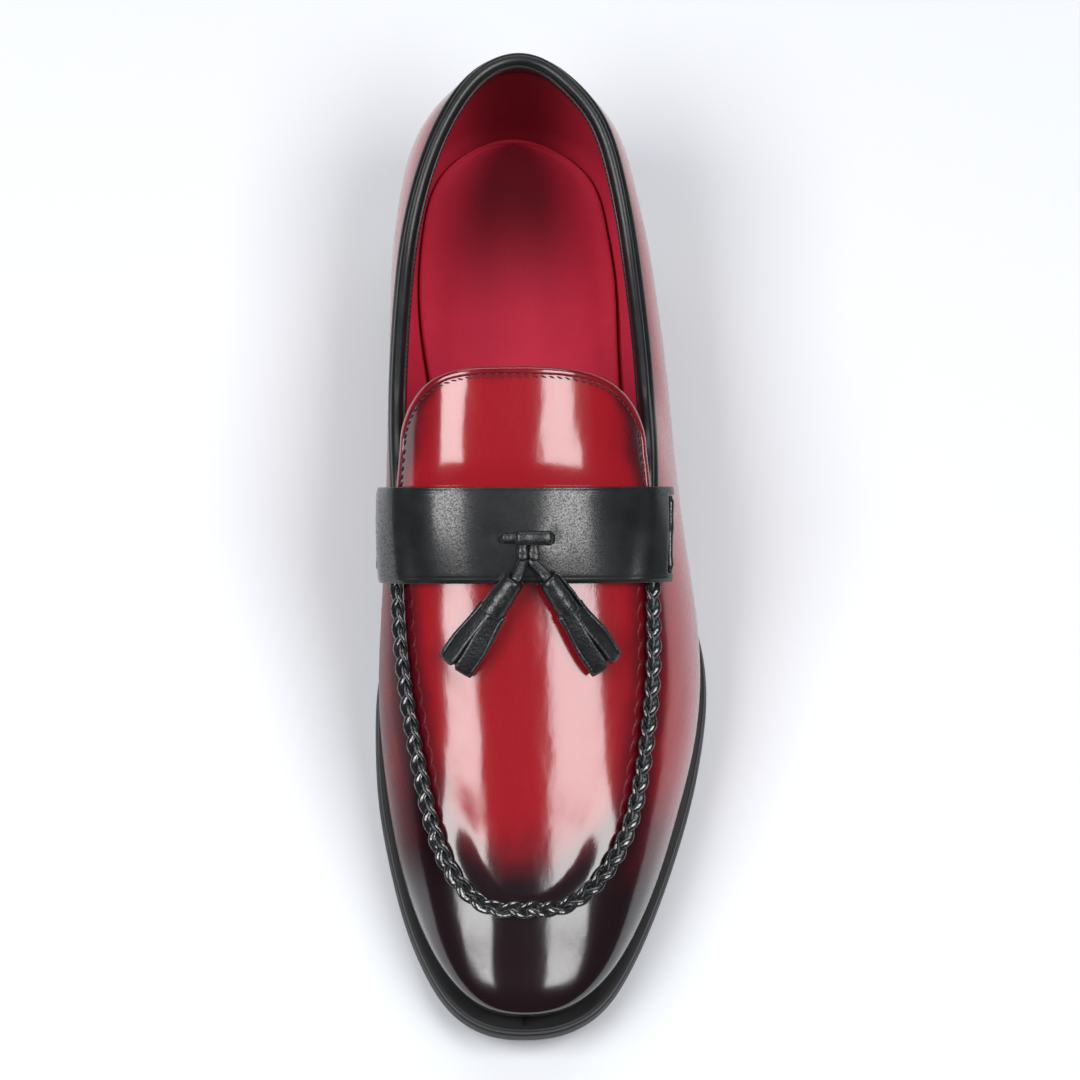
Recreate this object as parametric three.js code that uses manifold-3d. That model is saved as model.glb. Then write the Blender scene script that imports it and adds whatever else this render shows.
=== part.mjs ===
// Tassel loafer, the left shoe of a pair. Millimetres, +Z up, toe towards -Y, outer side towards +X.
// The origin lies on the floor, midway along the outsole and midway across it.
import * as THREE from 'three';
import Module from 'manifold-3d';

const wasm = await Module();
wasm.setup();

// Driving sizes of the shoe
const LENGTH = 302;
const BALL_WIDTH = 104;
const INSTEP = 71;
const BACK_HEIGHT = 59;

// Sole and heel
const SOLE_THICK = 7;
const SOLE_FLARE = 1.0;
const SOLE_BEVEL = 0.9;
const HEEL_LIFT = 18;
const HEEL_TAPER = 2.2;
const HEEL_BREAST = 82;
const BREAST_HOLLOW = 5;
const TOE_SPRING = 12;
const INSOLE_THICK = 2.6;

// Leathers and the clearance between two pieces that touch
const WALL = 2.4;
const LEATHER = 1.2;
const GAP = 0.3;

// Collar binding, a folded strip over the topline
const BINDING_OUT = 1.3;
const BINDING_IN = 2.0;
const BINDING_TOP = 1.9;
const BINDING_DROP = 2.8;
const BINDING_LAP = 6.0;
const BINDING_SPLAY = 0.3;

// Plaited cord over the apron seam
const BRAID_WIDTH = 5.4;
const BRAID_HEIGHT = 2.2;
const PLAIT_PITCH = 5.4;

// Strap across the instep
const STRAP_WIDTH = 29;
const STRAP_THICK = 1.8;
const STRAP_RAKE = 22;
const STRAP_AT = 0.498;
const STRAP_MEDIAL = 0.395;
const STRAP_LATERAL = 0.405;
const STRAP_PAD = 0.5;
const STRAP_DRAPE = 5;
const LUG_WIDTH = 2.6;
const LACE_WIDTH = 2.4;

// Tongue, the free end of the apron
const TONGUE_LIFT = 3.0;
const TONGUE_REACH = 28.6;
const TONGUE_CORNER = 16.5;
const TONGUE_NARROW = 0.955;
const TONGUE_ROUND = 5.0;
const TONGUE_RISE_START = 18;
const TONGUE_RISE_END = 4;

// Thong through the strap's two slots, and the tassels on its ends
const THONG_LENGTH = 16.4;
const THONG_WIDTH = 3.8;
const THONG_THICK = 1.6;
const THONG_ACROSS = 0.475;
const HEAD_LENGTH = 12.5;
const HEAD_WIDTH = 7.9;
const HEAD_COLLAR = 1.2;
const SKIRT_LENGTH = 19;
const SKIRT_WIDTH = 10.5;
const SKIRT_DEPTH = 6.4;
const SKIRT_TUCK = 1.0;
const SKIRT_RAGGED = 0.9;
const STRIPS = 7;
const STRIP_THICK = 1.5;
const STRIP_WIDTH = 4.6;

// Sections of the upper from the back of the heel to the tip of the toe.
// at, hub: shares of LENGTH, at the outer wall and where the section's line meets the spine.
// medial, lateral: widest reach from the spine, shares of BALL_WIDTH.
// belly: height of that widest line above the sole, a share of INSTEP.
// tuckIn, tuckOut: how far the foot of the wall draws in, shares of BALL_WIDTH, medial and lateral.
// crown: height of the instep line above the sole, a share of INSTEP.
// fullIn, fullOut: fullness of the arch, 2 is an ellipse.
// rimIn, rimOut: place of the collar and of the apron seam, shares of the reach.
// collar: height of the topline above the heel seat, a share of BACK_HEIGHT.
const SECTIONS = table(
  [
    'at', 'hub', 'medial', 'lateral', 'belly', 'tuckIn', 'tuckOut',
    'crown', 'fullIn', 'fullOut', 'rimIn', 'rimOut', 'collar',
  ],
  [
    [0.003, 0.115, 0.000, 0.000, 0.340, 0.017, 0.017, 1.080, 2.40, 2.40, 0.867, 0.867, 1.000],
    [0.018, 0.116, 0.177, 0.175, 0.335, 0.021, 0.021, 1.080, 2.40, 2.40, 0.775, 0.775, 0.983],
    [0.061, 0.125, 0.302, 0.305, 0.325, 0.027, 0.027, 1.080, 2.40, 2.40, 0.722, 0.752, 0.925],
    [0.120, 0.145, 0.354, 0.360, 0.310, 0.031, 0.035, 1.080, 2.40, 2.40, 0.790, 0.790, 0.845],
    [0.180, 0.190, 0.377, 0.396, 0.290, 0.038, 0.048, 1.080, 2.50, 2.40, 0.865, 0.805, 0.750],
    [0.250, 0.250, 0.386, 0.424, 0.268, 0.053, 0.068, 1.080, 2.80, 2.30, 0.920, 0.812, 0.680],
    [0.330, 0.330, 0.392, 0.448, 0.254, 0.088, 0.082, 1.080, 3.20, 2.20, 0.948, 0.812, 0.655],
    [0.420, 0.420, 0.398, 0.470, 0.240, 0.112, 0.074, 1.070, 3.50, 2.10, 0.948, 0.792, 0.670],
    [0.500, 0.500, 0.404, 0.499, 0.225, 0.078, 0.043, 1.000, 3.50, 2.10, 0.910, 0.741, 0.695],
    [0.570, 0.570, 0.415, 0.529, 0.197, 0.030, 0.020, 0.920, 3.10, 2.10, 0.856, 0.686, 0.700],
    [0.640, 0.640, 0.421, 0.534, 0.170, 0.014, 0.012, 0.813, 2.70, 2.10, 0.811, 0.682, 0.700],
    [0.700, 0.700, 0.410, 0.511, 0.155, 0.010, 0.010, 0.706, 2.50, 2.15, 0.775, 0.689, 0.700],
    [0.760, 0.757, 0.389, 0.466, 0.141, 0.010, 0.010, 0.604, 2.40, 2.20, 0.734, 0.700, 0.700],
    [0.830, 0.802, 0.350, 0.403, 0.127, 0.010, 0.010, 0.489, 2.30, 2.30, 0.688, 0.677, 0.700],
    [0.900, 0.833, 0.285, 0.317, 0.113, 0.010, 0.010, 0.362, 2.30, 2.30, 0.566, 0.552, 0.700],
    [0.950, 0.846, 0.203, 0.222, 0.105, 0.010, 0.010, 0.256, 2.30, 2.30, 0.404, 0.398, 0.700],
    [0.976, 0.849, 0.117, 0.124, 0.100, 0.010, 0.010, 0.196, 2.30, 2.30, 0.314, 0.314, 0.700],
    [0.9845, 0.850, 0.000, 0.000, 0.100, 0.010, 0.010, 0.176, 2.30, 2.30, 0.294, 0.294, 0.700],
  ],
);

// Outline of the outsole, with the same columns as above.
const SOLE_OUTLINE = table(
  ['at', 'medial', 'lateral'],
  [
    [0.000, 0.000, 0.000],
    [0.016, 0.170, 0.168],
    [0.060, 0.288, 0.283],
    [0.120, 0.332, 0.325],
    [0.190, 0.338, 0.340],
    [0.270, 0.328, 0.347],
    [0.350, 0.298, 0.364],
    [0.430, 0.288, 0.410],
    [0.500, 0.340, 0.492],
    [0.560, 0.394, 0.552],
    [0.610, 0.423, 0.569],
    [0.670, 0.430, 0.554],
    [0.740, 0.420, 0.512],
    [0.800, 0.392, 0.460],
    [0.870, 0.345, 0.386],
    [0.930, 0.281, 0.306],
    [0.975, 0.196, 0.211],
    [0.994, 0.110, 0.116],
    [1.000, 0.000, 0.000],
  ],
);

// Underside of the sole along its length: shares of LENGTH where the arch and the toe begin.
const ARCH_BACK = 0.27;
const ARCH_FRONT = 0.62;
const SPRING_START = 0.745;

// The opening: where the collar ends and the apron begins, and where the arch has wholly left the collar.
const THROAT = 0.487;
const COLLAR_FREE = 0.36;
const BRAID_START = 0.555;

// Steps of the faceted forms
const QUARTER_STEPS = 17;
const VAMP_STEPS = 16;
const FOOT_STEPS = 3;
const WALL_STEPS = 5;
const APRON_STEPS = 6;
const TONGUE_STEPS = 7;
const SOLE_STEPS = 30;
const STRAP_STEPS = 28;

const MEDIAL = -1;
const LATERAL = 1;

function table(columns, rows) {
  return rows.map((row) => Object.fromEntries(columns.map((name, i) => [name, row[i]])));
}

function clamp(value, low, high) {
  return Math.min(high, Math.max(low, value));
}

function smooth(from, to, value) {
  const share = clamp((value - from) / (to - from), 0, 1);
  return share * share * (3 - 2 * share);
}

function mix(a, b, share) {
  return a + (b - a) * share;
}

// Cubic spline through the points, level at both ends or free to run on straight.
function spline(xs, ys, level) {
  const last = xs.length - 1;
  const lower = new Array(last + 1).fill(0);
  const middle = new Array(last + 1).fill(1);
  const upper = new Array(last + 1).fill(0);
  const right = new Array(last + 1).fill(0);
  const step = (i) => xs[i + 1] - xs[i];
  const slope = (i) => (ys[i + 1] - ys[i]) / step(i);
  for (let i = 1; i < last; i += 1) {
    lower[i] = step(i - 1);
    middle[i] = 2 * (step(i - 1) + step(i));
    upper[i] = step(i);
    right[i] = 6 * (slope(i) - slope(i - 1));
  }
  if (level) {
    middle[0] = 2 * step(0);
    upper[0] = step(0);
    right[0] = 6 * slope(0);
    lower[last] = step(last - 1);
    middle[last] = 2 * step(last - 1);
    right[last] = -6 * slope(last - 1);
  }
  for (let i = 1; i <= last; i += 1) {
    const factor = lower[i] / middle[i - 1];
    middle[i] -= factor * upper[i - 1];
    right[i] -= factor * right[i - 1];
  }
  const bend = new Array(last + 1).fill(0);
  bend[last] = right[last] / middle[last];
  for (let i = last - 1; i >= 0; i -= 1) {
    bend[i] = (right[i] - upper[i] * bend[i + 1]) / middle[i];
  }
  return (x) => {
    let i = 0;
    while (i < last - 1 && x > xs[i + 1]) i += 1;
    const h = step(i);
    const a = (xs[i + 1] - x) / h;
    const b = (x - xs[i]) / h;
    const curve = ((a ** 3 - a) * bend[i] + (b ** 3 - b) * bend[i + 1]) * (h * h) / 6;
    return a * ys[i] + b * ys[i + 1] + curve;
  };
}

// A set of columns as splines over the distance run round the outline, from 0 at the heel to 1 at the toe.
function stations(rows) {
  const run = [0];
  for (let i = 1; i < rows.length; i += 1) {
    const along = (rows[i].at - rows[i - 1].at) * LENGTH;
    const out = (reachOf(rows[i]) - reachOf(rows[i - 1])) * BALL_WIDTH;
    run.push(run[i - 1] + Math.hypot(along, out));
  }
  const places = run.map((value) => value / run[run.length - 1]);
  const curves = {};
  for (const name of Object.keys(rows[0])) {
    const level = name !== 'medial' && name !== 'lateral';
    curves[name] = spline(places, rows.map((row) => row[name]), level);
  }
  return curves;
}

function reachOf(row) {
  return (row.medial + row.lateral) / 2;
}

const last = stations(SECTIONS);
const sole = stations(SOLE_OUTLINE);
const crownShare = spline(SECTIONS.map((row) => row.at), SECTIONS.map((row) => row.crown), true);

// The spine runs straight down the shoe, set so that the outsole is centred across the origin.
function widest(name) {
  let best = 0;
  for (let i = 0; i <= 2 * SOLE_STEPS; i += 1) {
    best = Math.max(best, sole[name](i / (2 * SOLE_STEPS)) * BALL_WIDTH);
  }
  return best;
}
const SPINE = (widest('medial') - widest('lateral')) / 2;

function alongOf(at) {
  return LENGTH * (0.5 - at);
}

function atOf(y) {
  return 0.5 - y / LENGTH;
}

// Place round the outline, 0 to 1, of the section that stands at a share of the length.
function placeOf(curves, at) {
  let low = 0;
  let high = 1;
  for (let i = 0; i < 40; i += 1) {
    const middle = (low + high) / 2;
    if (curves.at(middle) < at) low = middle;
    else high = middle;
  }
  return (low + high) / 2;
}

// Height of the outsole's underside: heel seat, arch, flat tread and toe spring.
function treadHeight(y) {
  const at = atOf(y);
  const arch = HEEL_LIFT * (1 - smooth(ARCH_BACK, ARCH_FRONT, at));
  const spring = TOE_SPRING * Math.max(0, (at - SPRING_START) / (1 - SPRING_START)) ** 2;
  return arch + spring;
}

function soleTop(y) {
  return treadHeight(y) + SOLE_THICK;
}

function crownHeight(y) {
  return soleTop(y) + INSTEP * crownShare(clamp(atOf(y), SECTIONS[0].at, SECTIONS[SECTIONS.length - 1].at));
}

const SEAT = HEEL_LIFT + SOLE_THICK;
const FOOT_Z = GAP;

// One section of the upper. turn runs from -1 to 1: medial below 0, lateral above, heel at 0, toe at
// both ends.
function sectionAt(turn) {
  let wrapped = turn;
  if (wrapped > 1) wrapped -= 2;
  if (wrapped < -1) wrapped += 2;
  const side = wrapped < 0 ? MEDIAL : LATERAL;
  const place = Math.abs(wrapped);
  const inner = side === MEDIAL;
  const at = last.at(place);
  const reach = (inner ? last.medial(place) : last.lateral(place)) * BALL_WIDTH;
  const hub = new THREE.Vector2(SPINE, alongOf(last.hub(place)));
  const out = new THREE.Vector2(SPINE + side * reach, alongOf(at));
  const tuck = (inner ? last.tuckIn(place) : last.tuckOut(place)) * BALL_WIDTH;
  const full = inner ? last.fullIn(place) : last.fullOut(place);
  const rim = inner ? last.rimIn(place) : last.rimOut(place);
  const footZ = soleTop(out.y) + FOOT_Z;
  const bellyZ = footZ + last.belly(place) * INSTEP;
  const collarZ = SEAT + last.collar(place) * BACK_HEIGHT;
  return { at, hub, out, tuck, full, rim, footZ, bellyZ, collarZ };
}

function dome(share, full) {
  return (1 - share ** full) ** (1 / full);
}

// A point of the upper's outer face. climb: -1 at the sole, 0 at the widest line, 1 at the rim, 2 on
// the spine.
// With arch, the instep line is followed behind the throat too, as the tongue and the strap do.
function skin(turn, climb, arch = false) {
  const s = sectionAt(turn);
  const away = s.out.clone().sub(s.hub);
  if (climb < 0) {
    const inset = s.tuck * climb * climb;
    const foot = s.out.clone().addScaledVector(away.normalize(), -inset);
    const z = mix(s.bellyZ, soleTop(foot.y) + FOOT_Z, -climb);
    return new THREE.Vector3(foot.x, foot.y, z);
  }
  let share = s.rim * (2 - climb);
  if (climb < 1) {
    const swing = Math.acos(s.rim ** (s.full / 2)) * climb;
    share = Math.cos(swing) ** (2 / s.full);
  }
  const plan = s.hub.clone().addScaledVector(away, share);
  const height = dome(share, s.full);
  const archTop = crownHeight(plan.y);
  let top = archTop;
  if (!arch && s.at < THROAT) {
    const rimPlan = s.hub.clone().addScaledVector(away, s.rim);
    const rimShare = dome(s.rim, s.full);
    const archRim = mix(s.bellyZ, crownHeight(rimPlan.y), rimShare);
    const rimZ = mix(s.collarZ, archRim, smooth(COLLAR_FREE, THROAT, s.at));
    top = s.bellyZ + (rimZ - s.bellyZ) / rimShare;
  }
  return new THREE.Vector3(plan.x, plan.y, mix(s.bellyZ, top, height));
}

const TINY = 1e-4;

// Outward normal of that face.
function normal(turn, climb, arch = false) {
  if (climb > 2 - 3 * TINY) {
    const y = skin(turn, climb, arch).y;
    const slope = (crownHeight(y + 0.1) - crownHeight(y - 0.1)) / 0.2;
    return new THREE.Vector3(0, -slope, 1).normalize();
  }
  const low = Math.max(-1, climb - TINY);
  const across = skin(turn, climb + TINY, arch).sub(skin(turn, low, arch));
  const along = skin(turn + TINY, climb, arch).sub(skin(turn - TINY, climb, arch));
  return across.cross(along).normalize();
}

function offset(turn, climb, lift, arch = false) {
  return skin(turn, climb, arch).addScaledVector(normal(turn, climb, arch), lift);
}

// A point beside the rim at a distance over the skin: above 0 down the wall, below 0 up the apron.
function beside(turn, distance, lift, arch = false) {
  const way = distance > 0 ? -1 : 1;
  const reach = skin(turn, 1 + way * 0.02, arch).distanceTo(skin(turn, 1, arch)) / 0.02;
  return offset(turn, 1 + way * Math.abs(distance) / reach, lift, arch);
}

// The foot of the wall's inner face stands on the sole, a wall's thickness in from the outer one.
function innerFoot(turn) {
  const out = skin(turn, -1);
  const face = normal(turn, -1);
  const level = new THREE.Vector3(face.x, face.y, 0);
  const part = Math.max(0.55, level.length());
  const foot = out.addScaledVector(level.normalize(), -WALL / part);
  return foot.setZ(soleTop(foot.y) + FOOT_Z);
}

// Joins a list of triangles into one closed geometry with its faces pointing out.
function closedGeometry(triangles) {
  const keys = new Map();
  const points = [];
  const find = (p) => {
    const key = [p.x, p.y, p.z].map((v) => Math.round(v * 2000)).join();
    if (!keys.has(key)) {
      keys.set(key, points.length);
      points.push(p);
    }
    return keys.get(key);
  };
  const index = [];
  let volume = 0;
  for (const triangle of triangles) {
    const [a, b, c] = triangle.map(find);
    if (a !== b && b !== c && c !== a) {
      index.push(a, b, c);
      volume += points[a].dot(points[b].clone().cross(points[c]));
    }
  }
  if (volume < 0) index.reverse();
  const geometry = new THREE.BufferGeometry();
  const numbers = points.flatMap((p) => p.toArray());
  geometry.setAttribute('position', new THREE.Float32BufferAttribute(numbers, 3));
  geometry.setIndex(index);
  geometry.computeVertexNormals();
  return geometry;
}

function quad(list, a, b, c, d) {
  list.push([a, b, c], [a, c, d]);
}

// Thickens an open sheet, given as patches of outer and inner points, and closes it along its free edges.
function thicken(patches) {
  const name = (p) => [p.x, p.y, p.z].map((v) => Math.round(v * 2000)).join();
  const partner = new Map();
  const faces = [];
  for (const { outer, inner, skip } of patches) {
    outer.forEach((row, i) => row.forEach((p, j) => {
      if (!partner.has(name(p))) partner.set(name(p), inner[i][j]);
    }));
    for (let i = 0; i + 1 < outer.length; i += 1) {
      for (let j = 0; j + 1 < outer[i].length && j + 1 < outer[i + 1].length; j += 1) {
        if (skip && skip(i, j)) continue;
        quad(faces, outer[i][j], outer[i + 1][j], outer[i + 1][j + 1], outer[i][j + 1]);
      }
    }
  }
  const sheet = faces.filter(([a, b, c]) => new Set([a, b, c].map(name)).size === 3);
  const under = (p) => partner.get(name(p));
  const edges = new Map();
  for (const face of sheet) {
    face.forEach((p, i) => edges.set(`${name(p)} ${name(face[(i + 1) % 3])}`, [p, face[(i + 1) % 3]]));
  }
  const solid = [];
  for (const [a, b, c] of sheet) solid.push([a, b, c], [under(a), under(c), under(b)]);
  for (const [a, b] of edges.values()) {
    if (!edges.has(`${name(b)} ${name(a)}`)) quad(solid, b, a, under(a), under(b));
  }
  return closedGeometry(solid);
}

// Joins closed rings into one solid, its ends closed by the flat outline that the rings follow.
function loft(rings, outline) {
  const solid = [];
  for (let i = 0; i + 1 < rings.length; i += 1) {
    rings[i].forEach((p, j) => {
      const next = (j + 1) % rings[i].length;
      quad(solid, p, rings[i][next], rings[i + 1][next], rings[i + 1][j]);
    });
  }
  const end = rings[rings.length - 1];
  for (const [a, b, c] of THREE.ShapeUtils.triangulateShape(outline, [])) {
    const turned = THREE.ShapeUtils.isClockWise(outline) ? [a, b, c] : [a, c, b];
    solid.push(turned.map((i) => rings[0][i]));
    solid.push([turned[0], turned[2], turned[1]].map((i) => end[i]));
  }
  return closedGeometry(solid);
}

function series(count, make) {
  return Array.from({ length: count + 1 }, (_, i) => make(i / count, i));
}

// Places of the sections from heel to toe: the quarters up to the throat, then the vamp.
const throatPlace = placeOf(last, THROAT);
const quarterPlaces = series(QUARTER_STEPS, (share) => share * throatPlace);
const vampPlaces = series(VAMP_STEPS, (share) => mix(throatPlace, 1, share));
const upperPlaces = [...quarterPlaces, ...vampPlaces.slice(1)];
const solePlaces = series(SOLE_STEPS, (share) => share);

// Upper: quarters and vamp as one hollow wall, with its lining carried on under the apron.
function upperGeometry() {
  const climbs = [
    ...series(FOOT_STEPS, (share) => share - 1),
    ...series(WALL_STEPS, (share) => share).slice(1),
  ];
  const crossing = series(APRON_STEPS, (share) => 1 + share);
  const wallRow = (turn) => climbs.map((climb) => offset(turn, climb, 0));
  const inside = (turn, climb) => (climb === -1 ? innerFoot(turn) : offset(turn, climb, -WALL));
  const liningRow = (turn) => climbs.map((climb) => inside(turn, climb));
  const patches = [];
  for (const side of [MEDIAL, LATERAL]) {
    patches.push({
      outer: quarterPlaces.map((place) => wallRow(side * place)),
      inner: quarterPlaces.map((place) => liningRow(side * place)),
    });
    patches.push({
      outer: vampPlaces.map((place) => [
        ...wallRow(side * place),
        ...crossing.map((climb) => offset(side * place, climb, -LEATHER - GAP)),
      ]),
      inner: vampPlaces.map((place) => [
        ...liningRow(side * place),
        ...crossing.map((climb) => offset(side * place, climb, -WALL)),
      ]),
    });
  }
  for (const patch of patches.slice(2)) {
    patch.outer.forEach((row) => row.reverse());
    patch.inner.forEach((row) => row.reverse());
  }
  return thicken(patches);
}

// How far the apron's free end rises off the instep line, to pass over the collar binding.
function tongueLift(y) {
  const throat = alongOf(THROAT);
  return TONGUE_LIFT * smooth(throat - TONGUE_RISE_START, throat + TONGUE_RISE_END, y);
}

// Apron and tongue: one leather from the toe seam, under the strap, to the free tip.
function apronGeometry() {
  const halfRow = (turn, edge, lift) => series(APRON_STEPS, (share) => {
    const p = offset(turn, mix(edge, 2, share), lift, true);
    return p.setZ(p.z + tongueLift(p.y));
  });
  const seamEdge = (turn) => {
    const reach = skin(turn, 1.02, true).distanceTo(skin(turn, 1, true)) / 0.02;
    return 1 + GAP / reach;
  };
  const wholeRow = (place, edge, lift) => [
    ...halfRow(-place, edge(-place), lift),
    ...halfRow(place, edge(place), lift).reverse().slice(1),
  ];
  const cornerY = alongOf(THROAT) + TONGUE_REACH - TONGUE_CORNER;
  const straight = series(2, (share) => ({
    y: mix(alongOf(THROAT), cornerY, share),
    width: mix(1, TONGUE_NARROW, share),
  })).slice(1);
  const rounded = series(TONGUE_STEPS, (share) => {
    const swing = share * Math.PI / 2;
    const width = TONGUE_NARROW * Math.cos(swing) ** (2 / TONGUE_ROUND);
    return { y: cornerY + TONGUE_CORNER * Math.sin(swing), width };
  }).slice(1, -1);
  const tongueRows = [...straight, ...rounded].reverse();
  const rows = (lift) => [
    ...tongueRows.map(({ y, width }) => wholeRow(placeOf(last, atOf(y)), () => 2 - width, lift)),
    ...vampPlaces.map((place) => wholeRow(place, seamEdge, lift)),
  ];
  return thicken([{ outer: rows(0), inner: rows(-LEATHER) }]);
}

// Ladder of a plate between two surfaces, one outline ring above another.
function plate(rings) {
  const solid = [];
  const count = rings[0].length;
  for (let i = 0; i + 1 < rings.length; i += 1) {
    for (let j = 0; j < count; j += 1) {
      const next = (j + 1) % count;
      quad(solid, rings[i][j], rings[i][next], rings[i + 1][next], rings[i + 1][j]);
    }
  }
  const cap = (ring, flip) => {
    for (let j = 0; j + 1 <= count / 2; j += 1) {
      const a = ring[j];
      const b = ring[j + 1];
      const c = ring[(count - j - 1) % count];
      const d = ring[(count - j) % count];
      if (flip) quad(solid, a, b, c, d);
      else quad(solid, d, c, b, a);
    }
  };
  cap(rings[0], false);
  cap(rings[rings.length - 1], true);
  return closedGeometry(solid);
}

// Points round an outline, from the heel down the lateral side to the toe and back up the medial side.
function aroundOutline(places, point) {
  const out = places.map((place) => point(LATERAL, place));
  const back = places.slice(1, -1).reverse().map((place) => point(MEDIAL, place));
  return [...out, ...back];
}

function solePoint(side, place, inset) {
  const spot = (p) => {
    const reach = (side === MEDIAL ? sole.medial(p) : sole.lateral(p)) * BALL_WIDTH;
    return new THREE.Vector2(SPINE + side * reach, alongOf(sole.at(p)));
  };
  const here = spot(place);
  const ahead = spot(place + TINY);
  const behind = spot(place - TINY);
  let run = ahead.sub(behind).normalize();
  if (place === 0) run = new THREE.Vector2(side, 0);
  if (place === 1) run = new THREE.Vector2(-side, 0);
  const inward = new THREE.Vector2(run.y * side, -run.x * side);
  return here.addScaledVector(inward, inset);
}

// Outsole: its edge flares out from the ledge under the upper to the ground, with both corners eased.
function outsoleGeometry() {
  const profile = [
    [SOLE_BEVEL, 0],
    [0, SOLE_BEVEL],
    [SOLE_FLARE, SOLE_THICK - SOLE_BEVEL],
    [SOLE_FLARE + SOLE_BEVEL, SOLE_THICK],
  ];
  const rings = profile.map(([inset, height]) => aroundOutline(solePlaces, (side, place) => {
    const p = solePoint(side, place, inset);
    return new THREE.Vector3(p.x, p.y, treadHeight(p.y) + height);
  }));
  return plate(rings);
}

// Heel: a block under the seat, tapering to the ground, with a hollowed breast.
function heelGeometry() {
  const breast = placeOf(sole, atOf(HEEL_BREAST));
  const side = (which, share, inset) => solePoint(which, share * breast, inset);
  const ring = (inset, height) => {
    const out = series(9, (share) => side(LATERAL, share, inset));
    const back = series(9, (share) => side(MEDIAL, 1 - share, inset)).slice(0, -1);
    const from = out[out.length - 1];
    const to = back[0];
    const front = series(6, (share) => {
      const hollow = BREAST_HOLLOW * Math.sin(Math.PI * share);
      return new THREE.Vector2(mix(from.x, to.x, share), mix(from.y, to.y, share) + hollow);
    }).slice(1, -1);
    return [...out, ...front, ...back].map((p) => new THREE.Vector3(p.x, p.y, height));
  };
  const rings = [
    ring(HEEL_TAPER + SOLE_BEVEL / 2, 0),
    ring(HEEL_TAPER, SOLE_BEVEL / 2),
    ring(SOLE_BEVEL, HEEL_LIFT - GAP),
  ];
  const outline = rings[0].map((p) => new THREE.Vector2(p.x, p.y));
  return loft(rings, outline);
}

// Insole: a board that fills the foot of the upper and follows the sole.
function insoleGeometry() {
  const ring = (height) => aroundOutline(upperPlaces, (side, place) => {
    const turn = side * place;
    const foot = innerFoot(turn);
    const face = normal(turn, -1);
    const level = new THREE.Vector3(face.x, face.y, 0).normalize();
    foot.addScaledVector(level, -GAP);
    return foot.setZ(soleTop(foot.y) + GAP + height);
  });
  return plate([ring(0), ring(INSOLE_THICK)]);
}

// Collar binding: a strip folded over the topline, longer inside than out.
function bindingGeometry() {
  const wall = WALL + GAP;
  const outline = [
    [GAP, -BINDING_DROP],
    [BINDING_OUT, -BINDING_DROP],
    [BINDING_OUT * 1.06, -BINDING_TOP * 0.3],
    [BINDING_OUT * 0.7, BINDING_TOP * 0.6],
    [0, BINDING_TOP],
    [-WALL * 0.6, BINDING_TOP * 0.95],
    [-wall, BINDING_TOP * 0.85],
    [-wall - BINDING_IN * 0.7, BINDING_TOP * 0.35],
    [-wall - BINDING_IN, -BINDING_LAP * 0.23],
    [-wall - BINDING_IN * 0.55 - BINDING_SPLAY, -BINDING_LAP],
    [-wall - BINDING_SPLAY, -BINDING_LAP],
    [-wall, GAP],
    [GAP, GAP],
  ].map(([out, up]) => new THREE.Vector2(out, up));
  const ends = [...quarterPlaces.slice(0, -1), throatPlace - 0.004];
  const turns = [...ends.slice(1).reverse().map((place) => -place), ...ends];
  const rings = turns.map((turn) => {
    const up = skin(turn, 1).sub(skin(turn, 0.98)).normalize();
    return outline.map(({ x, y }) => {
      if (y > 0) return offset(turn, 1, x).addScaledVector(up, y);
      return beside(turn, -y, x);
    });
  });
  return loft(rings, outline);
}

// Turns at even distances along the apron seam, from the strap's medial side round the toe to its
// lateral side.
function seamTurns(count) {
  const start = placeOf(last, BRAID_START);
  const fine = 40 * VAMP_STEPS;
  const turnAt = (share) => (share < 0.5 ? -mix(start, 1, 2 * share) : mix(1, start, 2 * share - 1));
  const turns = series(fine, turnAt);
  const runs = [0];
  for (let i = 1; i <= fine; i += 1) {
    runs.push(runs[i - 1] + skin(turns[i], 1).distanceTo(skin(turns[i - 1], 1)));
  }
  const wholeRun = runs[fine];
  const steps = count(wholeRun);
  return series(steps, (share) => {
    const i = clamp(runs.findIndex((run) => run >= share * wholeRun - TINY), 0, fine);
    return turns[i];
  });
}

// Braid: a low cord over the seam whose strands stand out by turns on its two sides.
function braidGeometry() {
  const half = BRAID_WIDTH / 2;
  const base = BRAID_HEIGHT * 0.18;
  const turns = seamTurns((run) => 2 * Math.round(run / PLAIT_PITCH));
  const rings = turns.map((turn, i) => {
    const near = i % 2 === 0 ? 1 : 0.78;
    const far = i % 2 === 0 ? 0.78 : 1;
    const end = i === 0 || i === turns.length - 1 ? 0.6 : 1;
    const rise = BRAID_HEIGHT * end;
    return [
      [-half * near, base],
      [0, base],
      [half * far, base],
      [half * far, base + rise * 0.35],
      [half * 0.55 * far, base + rise * far * 0.9],
      [0, base + rise * 0.95],
      [-half * 0.55 * near, base + rise * near * 0.9],
      [-half * near, base + rise * 0.35],
    ].map(([side, lift]) => beside(turn, side, lift));
  });
  const flat = [[-2, 0], [0, 0], [2, 0], [2, 0.35], [1, 0.9], [0, 1], [-1, 0.9], [-2, 0.35]];
  return loft(rings, flat.map(([x, y]) => new THREE.Vector2(x, y)));
}

const RAKE = THREE.MathUtils.degToRad(STRAP_RAKE);

// Climb of the point at a share of the reach from the spine.
function climbOf(turn, share) {
  const s = sectionAt(turn);
  if (share <= s.rim) return 2 - share / s.rim;
  return Math.acos(share ** (s.full / 2)) / Math.acos(s.rim ** (s.full / 2));
}

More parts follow.
